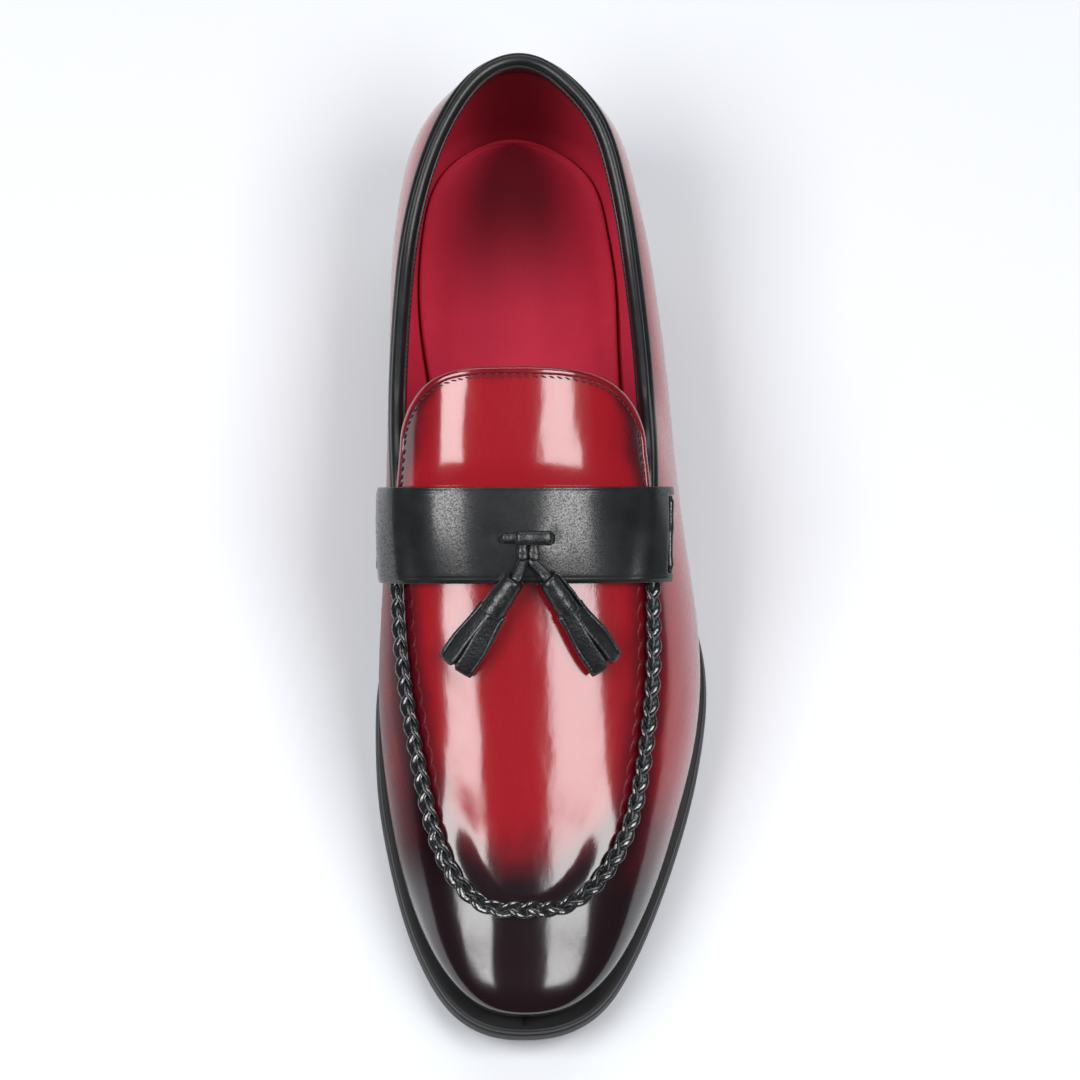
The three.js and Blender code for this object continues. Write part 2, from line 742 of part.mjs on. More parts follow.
// How far the strap rises to pass over the braid and, behind the throat, over the collar binding.
function strapBump(fromSeam, y) {
  const throat = alongOf(THROAT);
  const behind = smooth(throat - STRAP_DRAPE, throat, y);
  const edge = mix(BRAID_WIDTH / 2, BINDING_DROP, behind) + GAP;
  const rise = Math.max(BRAID_HEIGHT, BINDING_OUT) + GAP;
  return rise * (1 - smooth(edge, edge + STRAP_DRAPE, fromSeam));
}

// A point of the strap. along runs from -1 at the medial end to 1 at the lateral one, across from 0 at
// the front edge to 1 at the rear one.
function strapPoint(along, across, over) {
  const side = along < 0 ? MEDIAL : LATERAL;
  const half = (side === MEDIAL ? STRAP_MEDIAL : STRAP_LATERAL) * BALL_WIDTH;
  const rearY = alongOf(STRAP_AT);
  const rear = rearY + Math.tan(RAKE) * crownHeight(rearY);
  const plane = rear - (1 - across) * STRAP_WIDTH / Math.cos(RAKE);
  let y = rearY;
  let turn = 0;
  let climb = 2;
  for (let i = 0; i < 14; i += 1) {
    turn = side * placeOf(last, atOf(y));
    const reach = Math.abs(sectionAt(turn).out.x - SPINE);
    climb = climbOf(turn, Math.abs(along) * Math.min(half / reach, 0.99));
    y = plane - Math.tan(RAKE) * skin(turn, climb, true).z;
  }
  const fromSeam = skin(turn, climb, true).distanceTo(skin(turn, 1, true));
  const bump = strapBump(fromSeam, y);
  const face = normal(turn, climb, true);
  const under = Math.max(tongueLift(y) * face.z, bump) + 2 * GAP;
  return skin(turn, climb, true).addScaledVector(face, under + over);
}

function strapThickness(across) {
  return STRAP_THICK + STRAP_PAD * Math.sin(Math.PI * across);
}

// Share of the strap's half length taken by the notch for the end lace.
function notchShare(side) {
  const end = strapPoint(side, 0.5, 0);
  const near = strapPoint(side * 0.98, 0.5, 0);
  return 0.02 * (LACE_WIDTH + 4 * GAP) / end.distanceTo(near);
}

// Strap: a padded band over the instep, notched at both ends between two lugs.
function strapGeometry() {
  const medial = 1 - notchShare(MEDIAL);
  const lateral = 1 - notchShare(LATERAL);
  const alongs = [-1, ...series(STRAP_STEPS, (share) => mix(-medial, lateral, share)), 1];
  const lug = LUG_WIDTH / STRAP_WIDTH;
  const acrosses = [0, lug, 0.3, 0.5, 0.7, 1 - lug, 1];
  const rows = (layer) => alongs.map((along) => acrosses.map((across) => (
    strapPoint(along, across, layer * strapThickness(across))
  )));
  const lastCell = alongs.length - 2;
  const skip = (i, j) => (i === 0 || i === lastCell) && j > 0 && j < acrosses.length - 2;
  return thicken([{ outer: rows(1), inner: rows(0), skip }]);
}

// A round or flat cord through centre points, each with the way out of the surface below it.
function cord(centres, outs, width, thick, sides) {
  const outline = series(sides, (share) => {
    const swing = share * Math.PI * 2;
    return new THREE.Vector2(Math.cos(swing) * width / 2, Math.sin(swing) * thick / 2);
  }).slice(0, -1);
  const rings = centres.map((centre, i) => {
    const ahead = centres[Math.min(i + 1, centres.length - 1)];
    const behind = centres[Math.max(i - 1, 0)];
    const run = ahead.clone().sub(behind).normalize();
    const beam = run.clone().cross(outs[i]).normalize();
    const out = beam.clone().cross(run).normalize();
    return outline.map(({ x, y }) => centre.clone().addScaledVector(beam, x).addScaledVector(out, y));
  });
  return loft(rings, outline);
}

// End lace: a short round lace laid in the strap's notch, across the strap.
function endLaceGeometry(side) {
  const along = side * (1 - notchShare(side) / 2);
  const lug = (LUG_WIDTH + GAP) / STRAP_WIDTH;
  const steps = 6;
  const centres = series(steps, (share) => strapPoint(along, mix(lug, 1 - lug, share), LACE_WIDTH / 2));
  const outs = series(steps, (share) => {
    const across = mix(lug, 1 - lug, share);
    return strapPoint(along, across, 1).sub(strapPoint(along, across, 0));
  });
  return cord(centres, outs, LACE_WIDTH, LACE_WIDTH, 8);
}

function solidOf(geometry) {
  const flat = geometry.index ? geometry.toNonIndexed() : geometry;
  const { position } = flat.attributes;
  const corner = (i) => new THREE.Vector3().fromBufferAttribute(position, i);
  const triangle = (_, i) => [corner(3 * i), corner(3 * i + 1), corner(3 * i + 2)];
  const triangles = series(position.count / 3 - 1, triangle);
  const closed = closedGeometry(triangles);
  const mesh = new wasm.Mesh({
    numProp: 3,
    vertProperties: closed.attributes.position.array,
    triVerts: new Uint32Array(closed.index.array),
  });
  return new wasm.Manifold(mesh);
}

function geometryOf(solid) {
  const mesh = solid.getMesh();
  const geometry = new THREE.BufferGeometry();
  geometry.setAttribute('position', new THREE.BufferAttribute(mesh.vertProperties, 3));
  geometry.setIndex(new THREE.BufferAttribute(mesh.triVerts, 1));
  geometry.computeVertexNormals();
  return geometry;
}

function joined(geometries) {
  return geometryOf(geometries.map(solidOf).reduce((whole, next) => whole.add(next)));
}

// Where the spine line of the strap stands at a distance out to one side, as a share of its half length.
function strapAlong(x) {
  const side = x < 0 ? MEDIAL : LATERAL;
  const end = strapPoint(side, THONG_ACROSS, 0);
  return side * Math.abs(x) / Math.abs(end.x - SPINE);
}

function strapTop(x, across, lift) {
  return strapPoint(strapAlong(x), across, strapThickness(across) + GAP + lift);
}

function strapOut(x, across) {
  return strapTop(x, across, 1).sub(strapTop(x, across, 0)).normalize();
}

// Tassels: where each head's top and each skirt's end lies, out from the spine and ahead of the strap's
// front edge, as shares of STRAP_WIDTH.
const TASSELS = table(
  ['side', 'headOut', 'headAhead', 'tipOut', 'tipAhead'],
  [
    [MEDIAL, 0.115, -0.062, 0.717, 0.772],
    [LATERAL, 0.207, -0.076, 0.829, 0.753],
  ],
);

// A point over the apron, its place in plan given as in the table above.
function overApron(side, out, ahead, lift) {
  const front = strapPoint(0, 0, 0).y;
  const y = front - ahead * STRAP_WIDTH;
  const turn = side * placeOf(last, atOf(y));
  const reach = Math.abs(sectionAt(turn).out.x - SPINE);
  const climb = climbOf(turn, out * STRAP_WIDTH / reach);
  return { point: offset(turn, climb, lift, true), out: normal(turn, climb, true) };
}

function tasselFrame({ side, headOut, headAhead, tipOut, tipAhead }) {
  const overStrap = strapThickness(0.2) + 5 * GAP + HEAD_WIDTH / 2;
  const head = overApron(side, headOut, headAhead, overStrap);
  const tip = overApron(side, tipOut, tipAhead, SKIRT_DEPTH / 2 + GAP);
  const run = tip.point.clone().sub(head.point).normalize();
  const beam = tip.out.clone().cross(run).normalize();
  const out = run.clone().cross(beam).normalize();
  return { start: head.point, run, beam, out };
}

// Thong: a bar over the strap between its slots, and two flat ends that run down to the tassel heads.
function thongGeometry() {
  const steps = 6;
  const half = THONG_LENGTH / 2;
  const bar = series(steps, (share) => strapTop(mix(-half, half, share), THONG_ACROSS, THONG_THICK / 2));
  const barOut = series(steps, (share) => strapOut(mix(-half, half, share), THONG_ACROSS));
  const pieces = [cord(bar, barOut, THONG_WIDTH, THONG_THICK, 8)];
  for (const tassel of TASSELS) {
    const { start, run, out } = tasselFrame(tassel);
    const x = tassel.side * THONG_WIDTH * 0.45;
    const foot = start.clone().addScaledVector(run, -GAP);
    const near = start.clone().addScaledVector(run, -GAP - THONG_THICK);
    const across = [THONG_ACROSS, THONG_ACROSS * 0.62, THONG_ACROSS * 0.36];
    const path = [...across.map((share) => strapTop(x, share, THONG_THICK / 2)), near, foot];
    const outs = [...across.map((share) => strapOut(x, share)), out, out];
    pieces.push(cord(path, outs, THONG_WIDTH, THONG_THICK, 8));
  }
  return joined(pieces);
}

// Tassel: a rolled head and a skirt of cut strips, along +Z from the head's top, flat side towards -Y.
function tasselGeometry() {
  const radius = HEAD_WIDTH / 2;
  const head = new THREE.LatheGeometry([
    [0, 0],
    [radius * 0.75, 0],
    [radius * 0.93, HEAD_LENGTH * 0.064],
    [radius, HEAD_LENGTH * 0.5],
    [radius * 0.95, HEAD_LENGTH],
    [radius * 0.6, HEAD_LENGTH + HEAD_COLLAR],
    [0, HEAD_LENGTH + HEAD_COLLAR],
  ].map(([x, y]) => new THREE.Vector2(x, y)), 12).rotateX(Math.PI / 2);
  const pieces = [head];
  const start = HEAD_LENGTH - SKIRT_TUCK;
  const ringX = (SKIRT_WIDTH - STRIP_THICK) / 2;
  const ringY = (SKIRT_DEPTH - STRIP_THICK) / 2;
  for (let i = 0; i < STRIPS; i += 1) {
    const swing = (i / STRIPS) * Math.PI * 2 + 0.35;
    const reach = SKIRT_LENGTH + SKIRT_TUCK + SKIRT_RAGGED * Math.cos(5 * swing);
    const rings = series(3, (share) => {
      const spread = mix(0.62, 1, share ** 0.6);
      const width = STRIP_WIDTH * mix(0.7, 1, share ** 0.5) * (share === 1 ? 0.8 : 1);
      const centre = new THREE.Vector3(Math.cos(swing) * ringX, Math.sin(swing) * ringY, 0);
      centre.multiplyScalar(spread);
      const tangent = new THREE.Vector3(-Math.sin(swing) * ringX, Math.cos(swing) * ringY, 0).normalize();
      const outward = new THREE.Vector3(tangent.y, -tangent.x, 0);
      return [[-1, -1], [1, -1], [1, 1], [-1, 1]].map(([a, b]) => centre.clone()
        .addScaledVector(tangent, a * width / 2)
        .addScaledVector(outward, b * STRIP_THICK / 2)
        .setZ(start + share * reach));
    });
    pieces.push(loft(rings, [[-1, -1], [1, -1], [1, 1], [-1, 1]].map(([x, y]) => new THREE.Vector2(x, y))));
  }
  const core = new THREE.CylinderGeometry(1, 1, SKIRT_LENGTH * 0.8, 8, 1);
  core.scale(ringX * 0.8, 1, ringY * 0.8);
  pieces.push(core.rotateX(Math.PI / 2).translate(0, 0, start + SKIRT_LENGTH * 0.4));
  return joined(pieces);
}

const group = new THREE.Group();

function add(name, geometry, color, roughness) {
  const material = new THREE.MeshStandardMaterial({ color, roughness, metalness: 0 });
  const mesh = new THREE.Mesh(geometry, material);
  mesh.name = name;
  group.add(mesh);
  return mesh;
}

const RED_LEATHER = 0x9c1620;
const RED_LINING = 0xa01530;
const BLACK_LEATHER = 0x17181a;
const BLACK_RUBBER = 0x242526;

add('outsole', outsoleGeometry(), BLACK_RUBBER, 0.5);
add('heel', heelGeometry(), BLACK_RUBBER, 0.5);
add('insole', insoleGeometry(), RED_LINING, 0.8);
add('upper', upperGeometry(), RED_LEATHER, 0.15);
add('apron_tongue', apronGeometry(), RED_LEATHER, 0.15);
add('collar_binding', bindingGeometry(), BLACK_LEATHER, 0.4);
add('apron_braid', braidGeometry(), BLACK_LEATHER, 0.3);
add('strap', strapGeometry(), BLACK_LEATHER, 0.4);
add('strap_lace_medial', endLaceGeometry(MEDIAL), BLACK_LEATHER, 0.4);
add('strap_lace_lateral', endLaceGeometry(LATERAL), BLACK_LEATHER, 0.4);
add('tassel_thong', thongGeometry(), BLACK_LEATHER, 0.4);
for (const tassel of TASSELS) {
  const name = tassel.side === MEDIAL ? 'tassel_medial' : 'tassel_lateral';
  const mesh = add(name, tasselGeometry(), BLACK_LEATHER, 0.4);
  const { start, run, beam, out } = tasselFrame(tassel);
  mesh.position.copy(start);
  mesh.quaternion.setFromRotationMatrix(new THREE.Matrix4().makeBasis(beam, out, run));
}

export default group;
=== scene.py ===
"""Looks of a tassel loafer, the left shoe of a pair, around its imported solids.

Lengths are millimetres in the classes and metres in the meshes. +Z is up, the toe points
towards -Y and the outer side of the foot towards +X.
"""

import logging
import math
from dataclasses import dataclass, field
from enum import Enum
from typing import Callable, Sequence

import bmesh
import bpy
import numpy as np
from mathutils import Matrix, Vector


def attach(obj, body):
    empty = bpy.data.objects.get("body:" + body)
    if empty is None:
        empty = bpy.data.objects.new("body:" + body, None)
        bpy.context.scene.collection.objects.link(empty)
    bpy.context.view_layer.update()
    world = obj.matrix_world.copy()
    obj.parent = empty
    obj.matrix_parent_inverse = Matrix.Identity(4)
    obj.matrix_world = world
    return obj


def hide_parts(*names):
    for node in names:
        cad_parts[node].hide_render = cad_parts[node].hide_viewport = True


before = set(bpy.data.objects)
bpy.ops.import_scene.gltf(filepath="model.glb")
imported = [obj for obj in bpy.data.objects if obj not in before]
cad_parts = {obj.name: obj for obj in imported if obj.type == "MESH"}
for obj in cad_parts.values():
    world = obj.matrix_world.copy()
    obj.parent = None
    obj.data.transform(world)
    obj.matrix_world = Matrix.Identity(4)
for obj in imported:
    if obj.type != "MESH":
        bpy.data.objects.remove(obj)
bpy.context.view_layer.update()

MM = 0.001
LOG = logging.getLogger("loafer")

Array = np.ndarray
Mesh = bmesh.types.BMesh
Place = Callable[[Array, Array], Array]
Range = tuple[float, float]
Colour = tuple[float, float, float]


class Side(Enum):
    """The two sides of the shoe, as the sign of X."""

    MEDIAL = -1
    LATERAL = 1


def smooth(low: float, high: float, value: Array) -> Array:
    """Goes softly from 0 where the value is low to 1 where it is high."""
    share = np.clip((np.asarray(value, dtype=float) - low) / (high - low), 0.0, 1.0)
    return share * share * (3.0 - 2.0 * share)


def mix(start: Array, end: Array, share: Array) -> Array:
    """Goes from start to end by a share."""
    return start + (end - start) * share


def bell(value: Array, middle: float, wide: float) -> Array:
    """Falls off from 1 at the middle to about a third at this distance from it."""
    return np.exp(-(((value - middle) / wide) ** 2))


def unit(vectors: Array) -> Array:
    """Scales each row to length 1."""
    return vectors / np.maximum(np.linalg.norm(vectors, axis=-1, keepdims=True), 1e-12)


def run_of(line: Array) -> Array:
    """Distance run along a line up to each of its points."""
    return np.concatenate([[0.0], np.cumsum(np.linalg.norm(np.diff(line, axis=0), axis=1))])


def row_of(share: Array, count: int) -> Array:
    """Turns shares from 0 to 1 into the numbers of that many rows."""
    return np.rint(share * (count - 1)).astype(int)


def mirrored(across: Array, place: Array) -> Array:
    """Turns places round the outline into turns, below 0 on the medial side."""
    return np.where(across < 0, -place, place)


def floats(*values: Array) -> list[Array]:
    """Makes arrays of one shape."""
    return np.broadcast_arrays(*(np.asarray(value, dtype=float) for value in values))


class Spline:
    """Cubic spline through a table's points, level at both ends or free to run on straight."""

    def __init__(self, xs: Array, ys: Array, level: bool) -> None:
        """Solves for the bends at the points.

        Args:
            xs: Rising positions.
            ys: Values there.
            level: Whether both ends are level.
        """
        count = len(xs)
        step = np.diff(xs)
        slope = np.diff(ys) / step
        matrix = np.eye(count)
        right = np.zeros(count)
        for i in range(1, count - 1):
            matrix[i, i - 1 : i + 2] = (step[i - 1], 2 * (step[i - 1] + step[i]), step[i])
            right[i] = 6 * (slope[i] - slope[i - 1])
        if level:
            matrix[0, :2] = (2 * step[0], step[0])
            matrix[-1, -2:] = (step[-1], 2 * step[-1])
            right[0] = 6 * slope[0]
            right[-1] = -6 * slope[-1]
        self.xs = xs
        self.ys = ys
        self.bends = np.linalg.solve(matrix, right)

    def __call__(self, at: Array) -> Array:
        """Reads the curve.

        Args:
            at: Positions.

        Returns:
            The values there.
        """
        at = np.asarray(at, dtype=float)
        i = np.clip(np.searchsorted(self.xs, at, side="right") - 1, 0, len(self.xs) - 2)
        h = self.xs[i + 1] - self.xs[i]
        a = (self.xs[i + 1] - at) / h
        b = (at - self.xs[i]) / h
        curve = ((a**3 - a) * self.bends[i] + (b**3 - b) * self.bends[i + 1]) * h * h / 6
        return a * self.ys[i] + b * self.ys[i + 1] + curve


# fmt: off
SECTION_COLUMNS = (
    "at", "hub", "medial", "lateral", "belly", "tuck_in", "tuck_out",
    "crown", "full_in", "full_out", "rim_in", "rim_out", "collar",
)
SECTIONS = (
    (0.003, 0.115, 0.000, 0.000, 0.340, 0.017, 0.017, 1.080, 2.40, 2.40, 0.867, 0.867, 1.000),
    (0.018, 0.116, 0.177, 0.175, 0.335, 0.021, 0.021, 1.080, 2.40, 2.40, 0.775, 0.775, 0.983),
    (0.061, 0.125, 0.302, 0.305, 0.325, 0.027, 0.027, 1.080, 2.40, 2.40, 0.722, 0.752, 0.925),
    (0.120, 0.145, 0.354, 0.360, 0.310, 0.031, 0.035, 1.080, 2.40, 2.40, 0.790, 0.790, 0.845),
    (0.180, 0.190, 0.377, 0.396, 0.290, 0.038, 0.048, 1.080, 2.50, 2.40, 0.865, 0.805, 0.750),
    (0.250, 0.250, 0.386, 0.424, 0.268, 0.053, 0.068, 1.080, 2.80, 2.30, 0.920, 0.812, 0.680),
    (0.330, 0.330, 0.392, 0.448, 0.254, 0.088, 0.082, 1.080, 3.20, 2.20, 0.948, 0.812, 0.655),
    (0.420, 0.420, 0.398, 0.470, 0.240, 0.112, 0.074, 1.070, 3.50, 2.10, 0.948, 0.792, 0.670),
    (0.500, 0.500, 0.404, 0.499, 0.225, 0.078, 0.043, 1.000, 3.50, 2.10, 0.910, 0.741, 0.695),
    (0.570, 0.570, 0.415, 0.529, 0.197, 0.030, 0.020, 0.920, 3.10, 2.10, 0.856, 0.686, 0.700),
    (0.640, 0.640, 0.421, 0.534, 0.170, 0.014, 0.012, 0.813, 2.70, 2.10, 0.811, 0.682, 0.700),
    (0.700, 0.700, 0.410, 0.511, 0.155, 0.010, 0.010, 0.706, 2.50, 2.15, 0.775, 0.689, 0.700),
    (0.760, 0.757, 0.389, 0.466, 0.141, 0.010, 0.010, 0.604, 2.40, 2.20, 0.734, 0.700, 0.700),
    (0.830, 0.802, 0.350, 0.403, 0.127, 0.010, 0.010, 0.489, 2.30, 2.30, 0.688, 0.677, 0.700),
    (0.900, 0.833, 0.285, 0.317, 0.113, 0.010, 0.010, 0.362, 2.30, 2.30, 0.566, 0.552, 0.700),
    (0.950, 0.846, 0.203, 0.222, 0.105, 0.010, 0.010, 0.256, 2.30, 2.30, 0.404, 0.398, 0.700),
    (0.976, 0.849, 0.117, 0.124, 0.100, 0.010, 0.010, 0.196, 2.30, 2.30, 0.314, 0.314, 0.700),
    (0.9845, 0.850, 0.000, 0.000, 0.100, 0.010, 0.010, 0.176, 2.30, 2.30, 0.294, 0.294, 0.700),
)
SOLE_COLUMNS = ("at", "medial", "lateral")
SOLE_OUTLINE = (
    (0.000, 0.000, 0.000), (0.016, 0.170, 0.168), (0.060, 0.288, 0.283), (0.120, 0.332, 0.325),
    (0.190, 0.338, 0.340), (0.270, 0.328, 0.347), (0.350, 0.298, 0.364), (0.430, 0.288, 0.410),
    (0.500, 0.340, 0.492), (0.560, 0.394, 0.552), (0.610, 0.423, 0.569), (0.670, 0.430, 0.554),
    (0.740, 0.420, 0.512), (0.800, 0.392, 0.460), (0.870, 0.345, 0.386), (0.930, 0.281, 0.306),
    (0.975, 0.196, 0.211), (0.994, 0.110, 0.116), (1.000, 0.000, 0.000),
)
# Points of the binding's section: distance out of the wall, distance up from the topline.
BINDING_FLANGE = ((0.32, -2.7), (0.75, -2.82), (1.12, -2.74), (1.25, -2.3), (1.18, -1.3))
BINDING_BAND = (
    (-2.78, 0.58), (-2.95, 0.78), (-3.3, 0.86), (-3.75, 0.62), (-4.05, 0.1), (-4.25, -0.8),
    (-4.3, -1.9), (-4.05, -5.55), (-3.85, -5.92), (-3.05, -5.98), (-2.75, -5.6), (-2.7, 0.1),
    (0.25, 0.1), (0.32, -0.5),
)
# Points down the edge of the sole and of the heel: distance in from the outline, height.
SOLE_LINE = ((0.42, 3.0), (0.62, 4.45), (0.86, 4.6), (0.90, 4.8), (0.74, 4.95))
HEEL_LINE = ((2.0, 4.6), (2.25, 4.8), (2.25, 5.0), (1.9, 5.2))
# fmt: on


class Stations:
    """A table's columns as splines over the distance run round the outline, 0 heel to 1 toe."""

    def __init__(
        self, columns: Sequence[str], rows: Sequence[Sequence[float]], length: float, width: float
    ) -> None:
        """Lays the rows out along the outline.

        Args:
            columns: Names of the columns.
            rows: The table.
            length: Length of the shoe.
            width: Width at the ball.
        """
        data = np.array(rows)
        at = data[:, columns.index("at")]
        reach = (data[:, columns.index("medial")] + data[:, columns.index("lateral")]) / 2
        run = run_of(np.stack([at * length, reach * width], -1))
        places = run / run[-1]
        self.curves = {
            name: Spline(places, data[:, i], name not in ("medial", "lateral"))
            for i, name in enumerate(columns)
        }
        self.fine = np.linspace(0, 1, 4001)
        self.fine_at = self.curves["at"](self.fine)

    def read(self, name: str, place: Array) -> Array:
        """Reads one column at places round the outline."""
        return self.curves[name](place)

    def place_of(self, at: Array) -> Array:
        """Finds the places whose sections stand at these shares of the length."""
        return np.interp(at, self.fine_at, self.fine)


@dataclass
class Section:
    """One cut of the upper for each turn asked."""

    at: Array
    hub: Array
    out: Array
    tuck: Array
    full: Array
    rim: Array
    foot_z: Array
    belly_z: Array
    collar_z: Array


@dataclass
class Last:
    """The form that every piece follows, from the same named sizes as the solids."""

    length: float = 302.0
    ball_width: float = 104.0
    instep: float = 71.0
    back_height: float = 59.0
    sole_thick: float = 7.0
    heel_lift: float = 18.0
    toe_spring: float = 12.0
    gap: float = 0.3
    wall: float = 2.4
    leather: float = 1.2
    arch_back: float = 0.27
    arch_front: float = 0.62
    spring_start: float = 0.745
    throat: float = 0.487
    collar_free: float = 0.36
    flex_y: float = -103.0
    flex_depth: float = 1.9
    flex_long: float = 17.0
    flex_edge: float = 0.62
    ridge: Range = (1.9, 2.0)
    least_level: float = 0.55
    seam_steps: int = 300
    nudge: float = 0.1
    tiny: float = 1e-4

    def __post_init__(self) -> None:
        """Reads the tables."""
        self.upper = Stations(SECTION_COLUMNS, SECTIONS, self.length, self.ball_width)
        self.sole = Stations(SOLE_COLUMNS, SOLE_OUTLINE, self.length, self.ball_width)
        data = np.array(SECTIONS)
        self.crown = Spline(data[:, 0], data[:, SECTION_COLUMNS.index("crown")], True)
        fine = np.linspace(0, 1, 61)
        medial, lateral = (self.sole.read(side, fine).max() for side in ("medial", "lateral"))
        self.spine = (medial * self.ball_width - lateral * self.ball_width) / 2
        self.throat_place = float(self.upper.place_of(self.throat))

    def along_of(self, at: Array) -> Array:
        """Turns a share of the length into Y."""
        return self.length * (0.5 - at)

    def at_of(self, y: Array) -> Array:
        """Turns Y into a share of the length."""
        return 0.5 - y / self.length

    def place_at(self, y: Array) -> Array:
        """Finds the upper's places round the outline at these Y."""
        return self.upper.place_of(self.at_of(y))

    def tread(self, y: Array) -> Array:
        """Works out the height of the outsole's underside.

        Args:
            y: Position along the shoe.

        Returns:
            Heights over the floor.
        """
        at = self.at_of(y)
        arch = self.heel_lift * (1 - smooth(self.arch_back, self.arch_front, at))
        spring = np.maximum(0, (at - self.spring_start) / (1 - self.spring_start)) ** 2
        return arch + self.toe_spring * spring

    def sole_top(self, y: Array) -> Array:
        """Height of the outsole's top."""
        return self.tread(y) + self.sole_thick

    def crown_height(self, y: Array) -> Array:
        """Height of the instep line."""
        at = np.clip(self.at_of(y), SECTIONS[0][0], SECTIONS[-1][0])
        return self.sole_top(y) + self.instep * self.crown(at)

    def flex(self, y: Array, across: Array) -> Array:
        """Depth of the shallow dip across the vamp, for shares of the rim's reach."""
        dip = self.flex_depth * bell(y, self.flex_y, self.flex_long)
        return dip * (1 - smooth(self.flex_edge, 1.0, np.abs(across)))

    def from_seam(self, points: Array) -> Array:
        """Measures how far points lie from the apron's seam.

        Args:
            points: Points in millimetres.

        Returns:
            The distances.
        """
        half = np.linspace(self.throat_place, 1, self.seam_steps)
        turn = np.concatenate([-half, half])
        line = self.skin(turn, np.ones_like(turn))
        square = (points**2).sum(-1)[:, None] + (line**2).sum(-1)[None] - 2 * points @ line.T
        return np.sqrt(np.maximum(square.min(1), 0))

    def section(self, turn: Array) -> Section:
        """Cuts the upper.

        Args:
            turn: From -1 to 1: medial below 0, lateral above, heel at 0, toe at both ends.

        Returns:
            The section at each turn.
        """
        turn = (np.asarray(turn, dtype=float) + 1) % 2 - 1
        inner = turn < 0
        place = np.abs(turn)
        read = self.upper.read

        def either(medial: str, lateral: str) -> Array:
            """Reads the column of each turn's side."""
            return np.where(inner, read(medial, place), read(lateral, place))

        at = read("at", place)
        hub = np.stack([np.full_like(place, self.spine), self.along_of(read("hub", place))], -1)
        reach = np.where(inner, -1, 1) * (either("medial", "lateral") * self.ball_width)
        out = np.stack([self.spine + reach, self.along_of(at)], -1)
        foot_z = self.sole_top(out[..., 1]) + self.gap
        return Section(
            at=at,
            hub=hub,
            out=out,
            tuck=either("tuck_in", "tuck_out") * self.ball_width,
            full=either("full_in", "full_out"),
            rim=either("rim_in", "rim_out"),
            foot_z=foot_z,
            belly_z=foot_z + read("belly", place) * self.instep,
            collar_z=self.heel_lift + self.sole_thick + read("collar", place) * self.back_height,
        )

    def skin(self, turn: Array, climb: Array, arch: bool = False) -> Array:
        """Works out points of the upper's outer face.

        Args:
            turn: Position round the shoe.
            climb: -1 at the sole, 0 at the widest line, 1 at the rim, 2 on the spine.
            arch: Follow the instep line behind the throat too, as the tongue does.

        Returns:
            Points in millimetres.
        """
        turn, climb = floats(turn, climb)
        s = self.section(turn)
        away = s.out - s.hub
        reach = np.linalg.norm(away, axis=-1)
        swing = np.arccos(s.rim ** (s.full / 2)) * np.clip(climb, 0, 1)
        share = np.where(climb < 1, np.cos(swing) ** (2 / s.full), s.rim * (2 - climb))
        share = np.clip(share, 0, 1)
        plan = s.hub + away * share[..., None]
        height = np.maximum(1 - share**s.full, 0) ** (1 / s.full)
        top = self.crown_height(plan[..., 1])
        if not arch:
            rim_plan = s.hub + away * s.rim[..., None]
            rim_share = (1 - s.rim**s.full) ** (1 / s.full)
            arch_rim = mix(s.belly_z, self.crown_height(rim_plan[..., 1]), rim_share)
            rim_z = mix(s.collar_z, arch_rim, smooth(self.collar_free, self.throat, s.at))
            low = s.belly_z + (rim_z - s.belly_z) / rim_share
            top = np.where(s.at < self.throat, low, top)
        upper = np.concatenate([plan, mix(s.belly_z, top, height)[..., None]], -1)
        inset = s.tuck * climb**2 / np.maximum(reach, 1e-9)
        foot = s.out - away * inset[..., None]
        foot_z = mix(s.belly_z, self.sole_top(foot[..., 1]) + self.gap, -climb)
        lower = np.concatenate([foot, foot_z[..., None]], -1)
        return np.where((climb < 0)[..., None], lower, upper)

    def normal(self, turn: Array, climb: Array, arch: bool = False) -> Array:
        """Works out which way the outer face looks.

        Args:
            turn: As for skin.
            climb: As for skin.
            arch: As for skin.

        Returns:
            Unit vectors out of the face.
        """
        turn, climb = floats(turn, climb)
        high = np.minimum(climb, 2 - 3 * self.tiny)
        low = np.maximum(-1, high - self.tiny)
        across = self.skin(turn, high + self.tiny, arch) - self.skin(turn, low, arch)
        along = self.skin(turn + self.tiny, high, arch) - self.skin(turn - self.tiny, high, arch)
        face = unit(np.cross(across, along))
        y = self.skin(turn, climb, arch)[..., 1]
        slope = (self.crown_height(y + self.nudge) - self.crown_height(y - self.nudge)) / (2 * self.nudge)
        level = unit(np.stack([np.zeros_like(y), -slope, np.ones_like(y)], -1))
        return unit(mix(face, level, smooth(*self.ridge, climb)[..., None]))

    def offset(self, turn: Array, climb: Array, lift: Array, arch: bool = False) -> Array:
        """Points a distance over the face."""
        lift = np.asarray(lift, dtype=float)
        return self.skin(turn, climb, arch) + self.normal(turn, climb, arch) * lift[..., None]

    def beside(self, turn: Array, distance: Array, lift: Array) -> Array:
        """Works out points beside the rim and over the face.

        Args:
            turn: Position round the shoe.
            distance: Above 0 down the wall, below 0 up the apron.
            lift: Distance over the face.

        Returns:
            Points in millimetres.
        """
        step = 0.02
        way = np.where(np.asarray(distance) > 0, -1.0, 1.0)
        near = self.skin(turn, 1 + way * step) - self.skin(turn, np.ones_like(way))
        reach = np.linalg.norm(near, axis=-1) / step
        return self.offset(turn, 1 + way * np.abs(distance) / reach, lift)

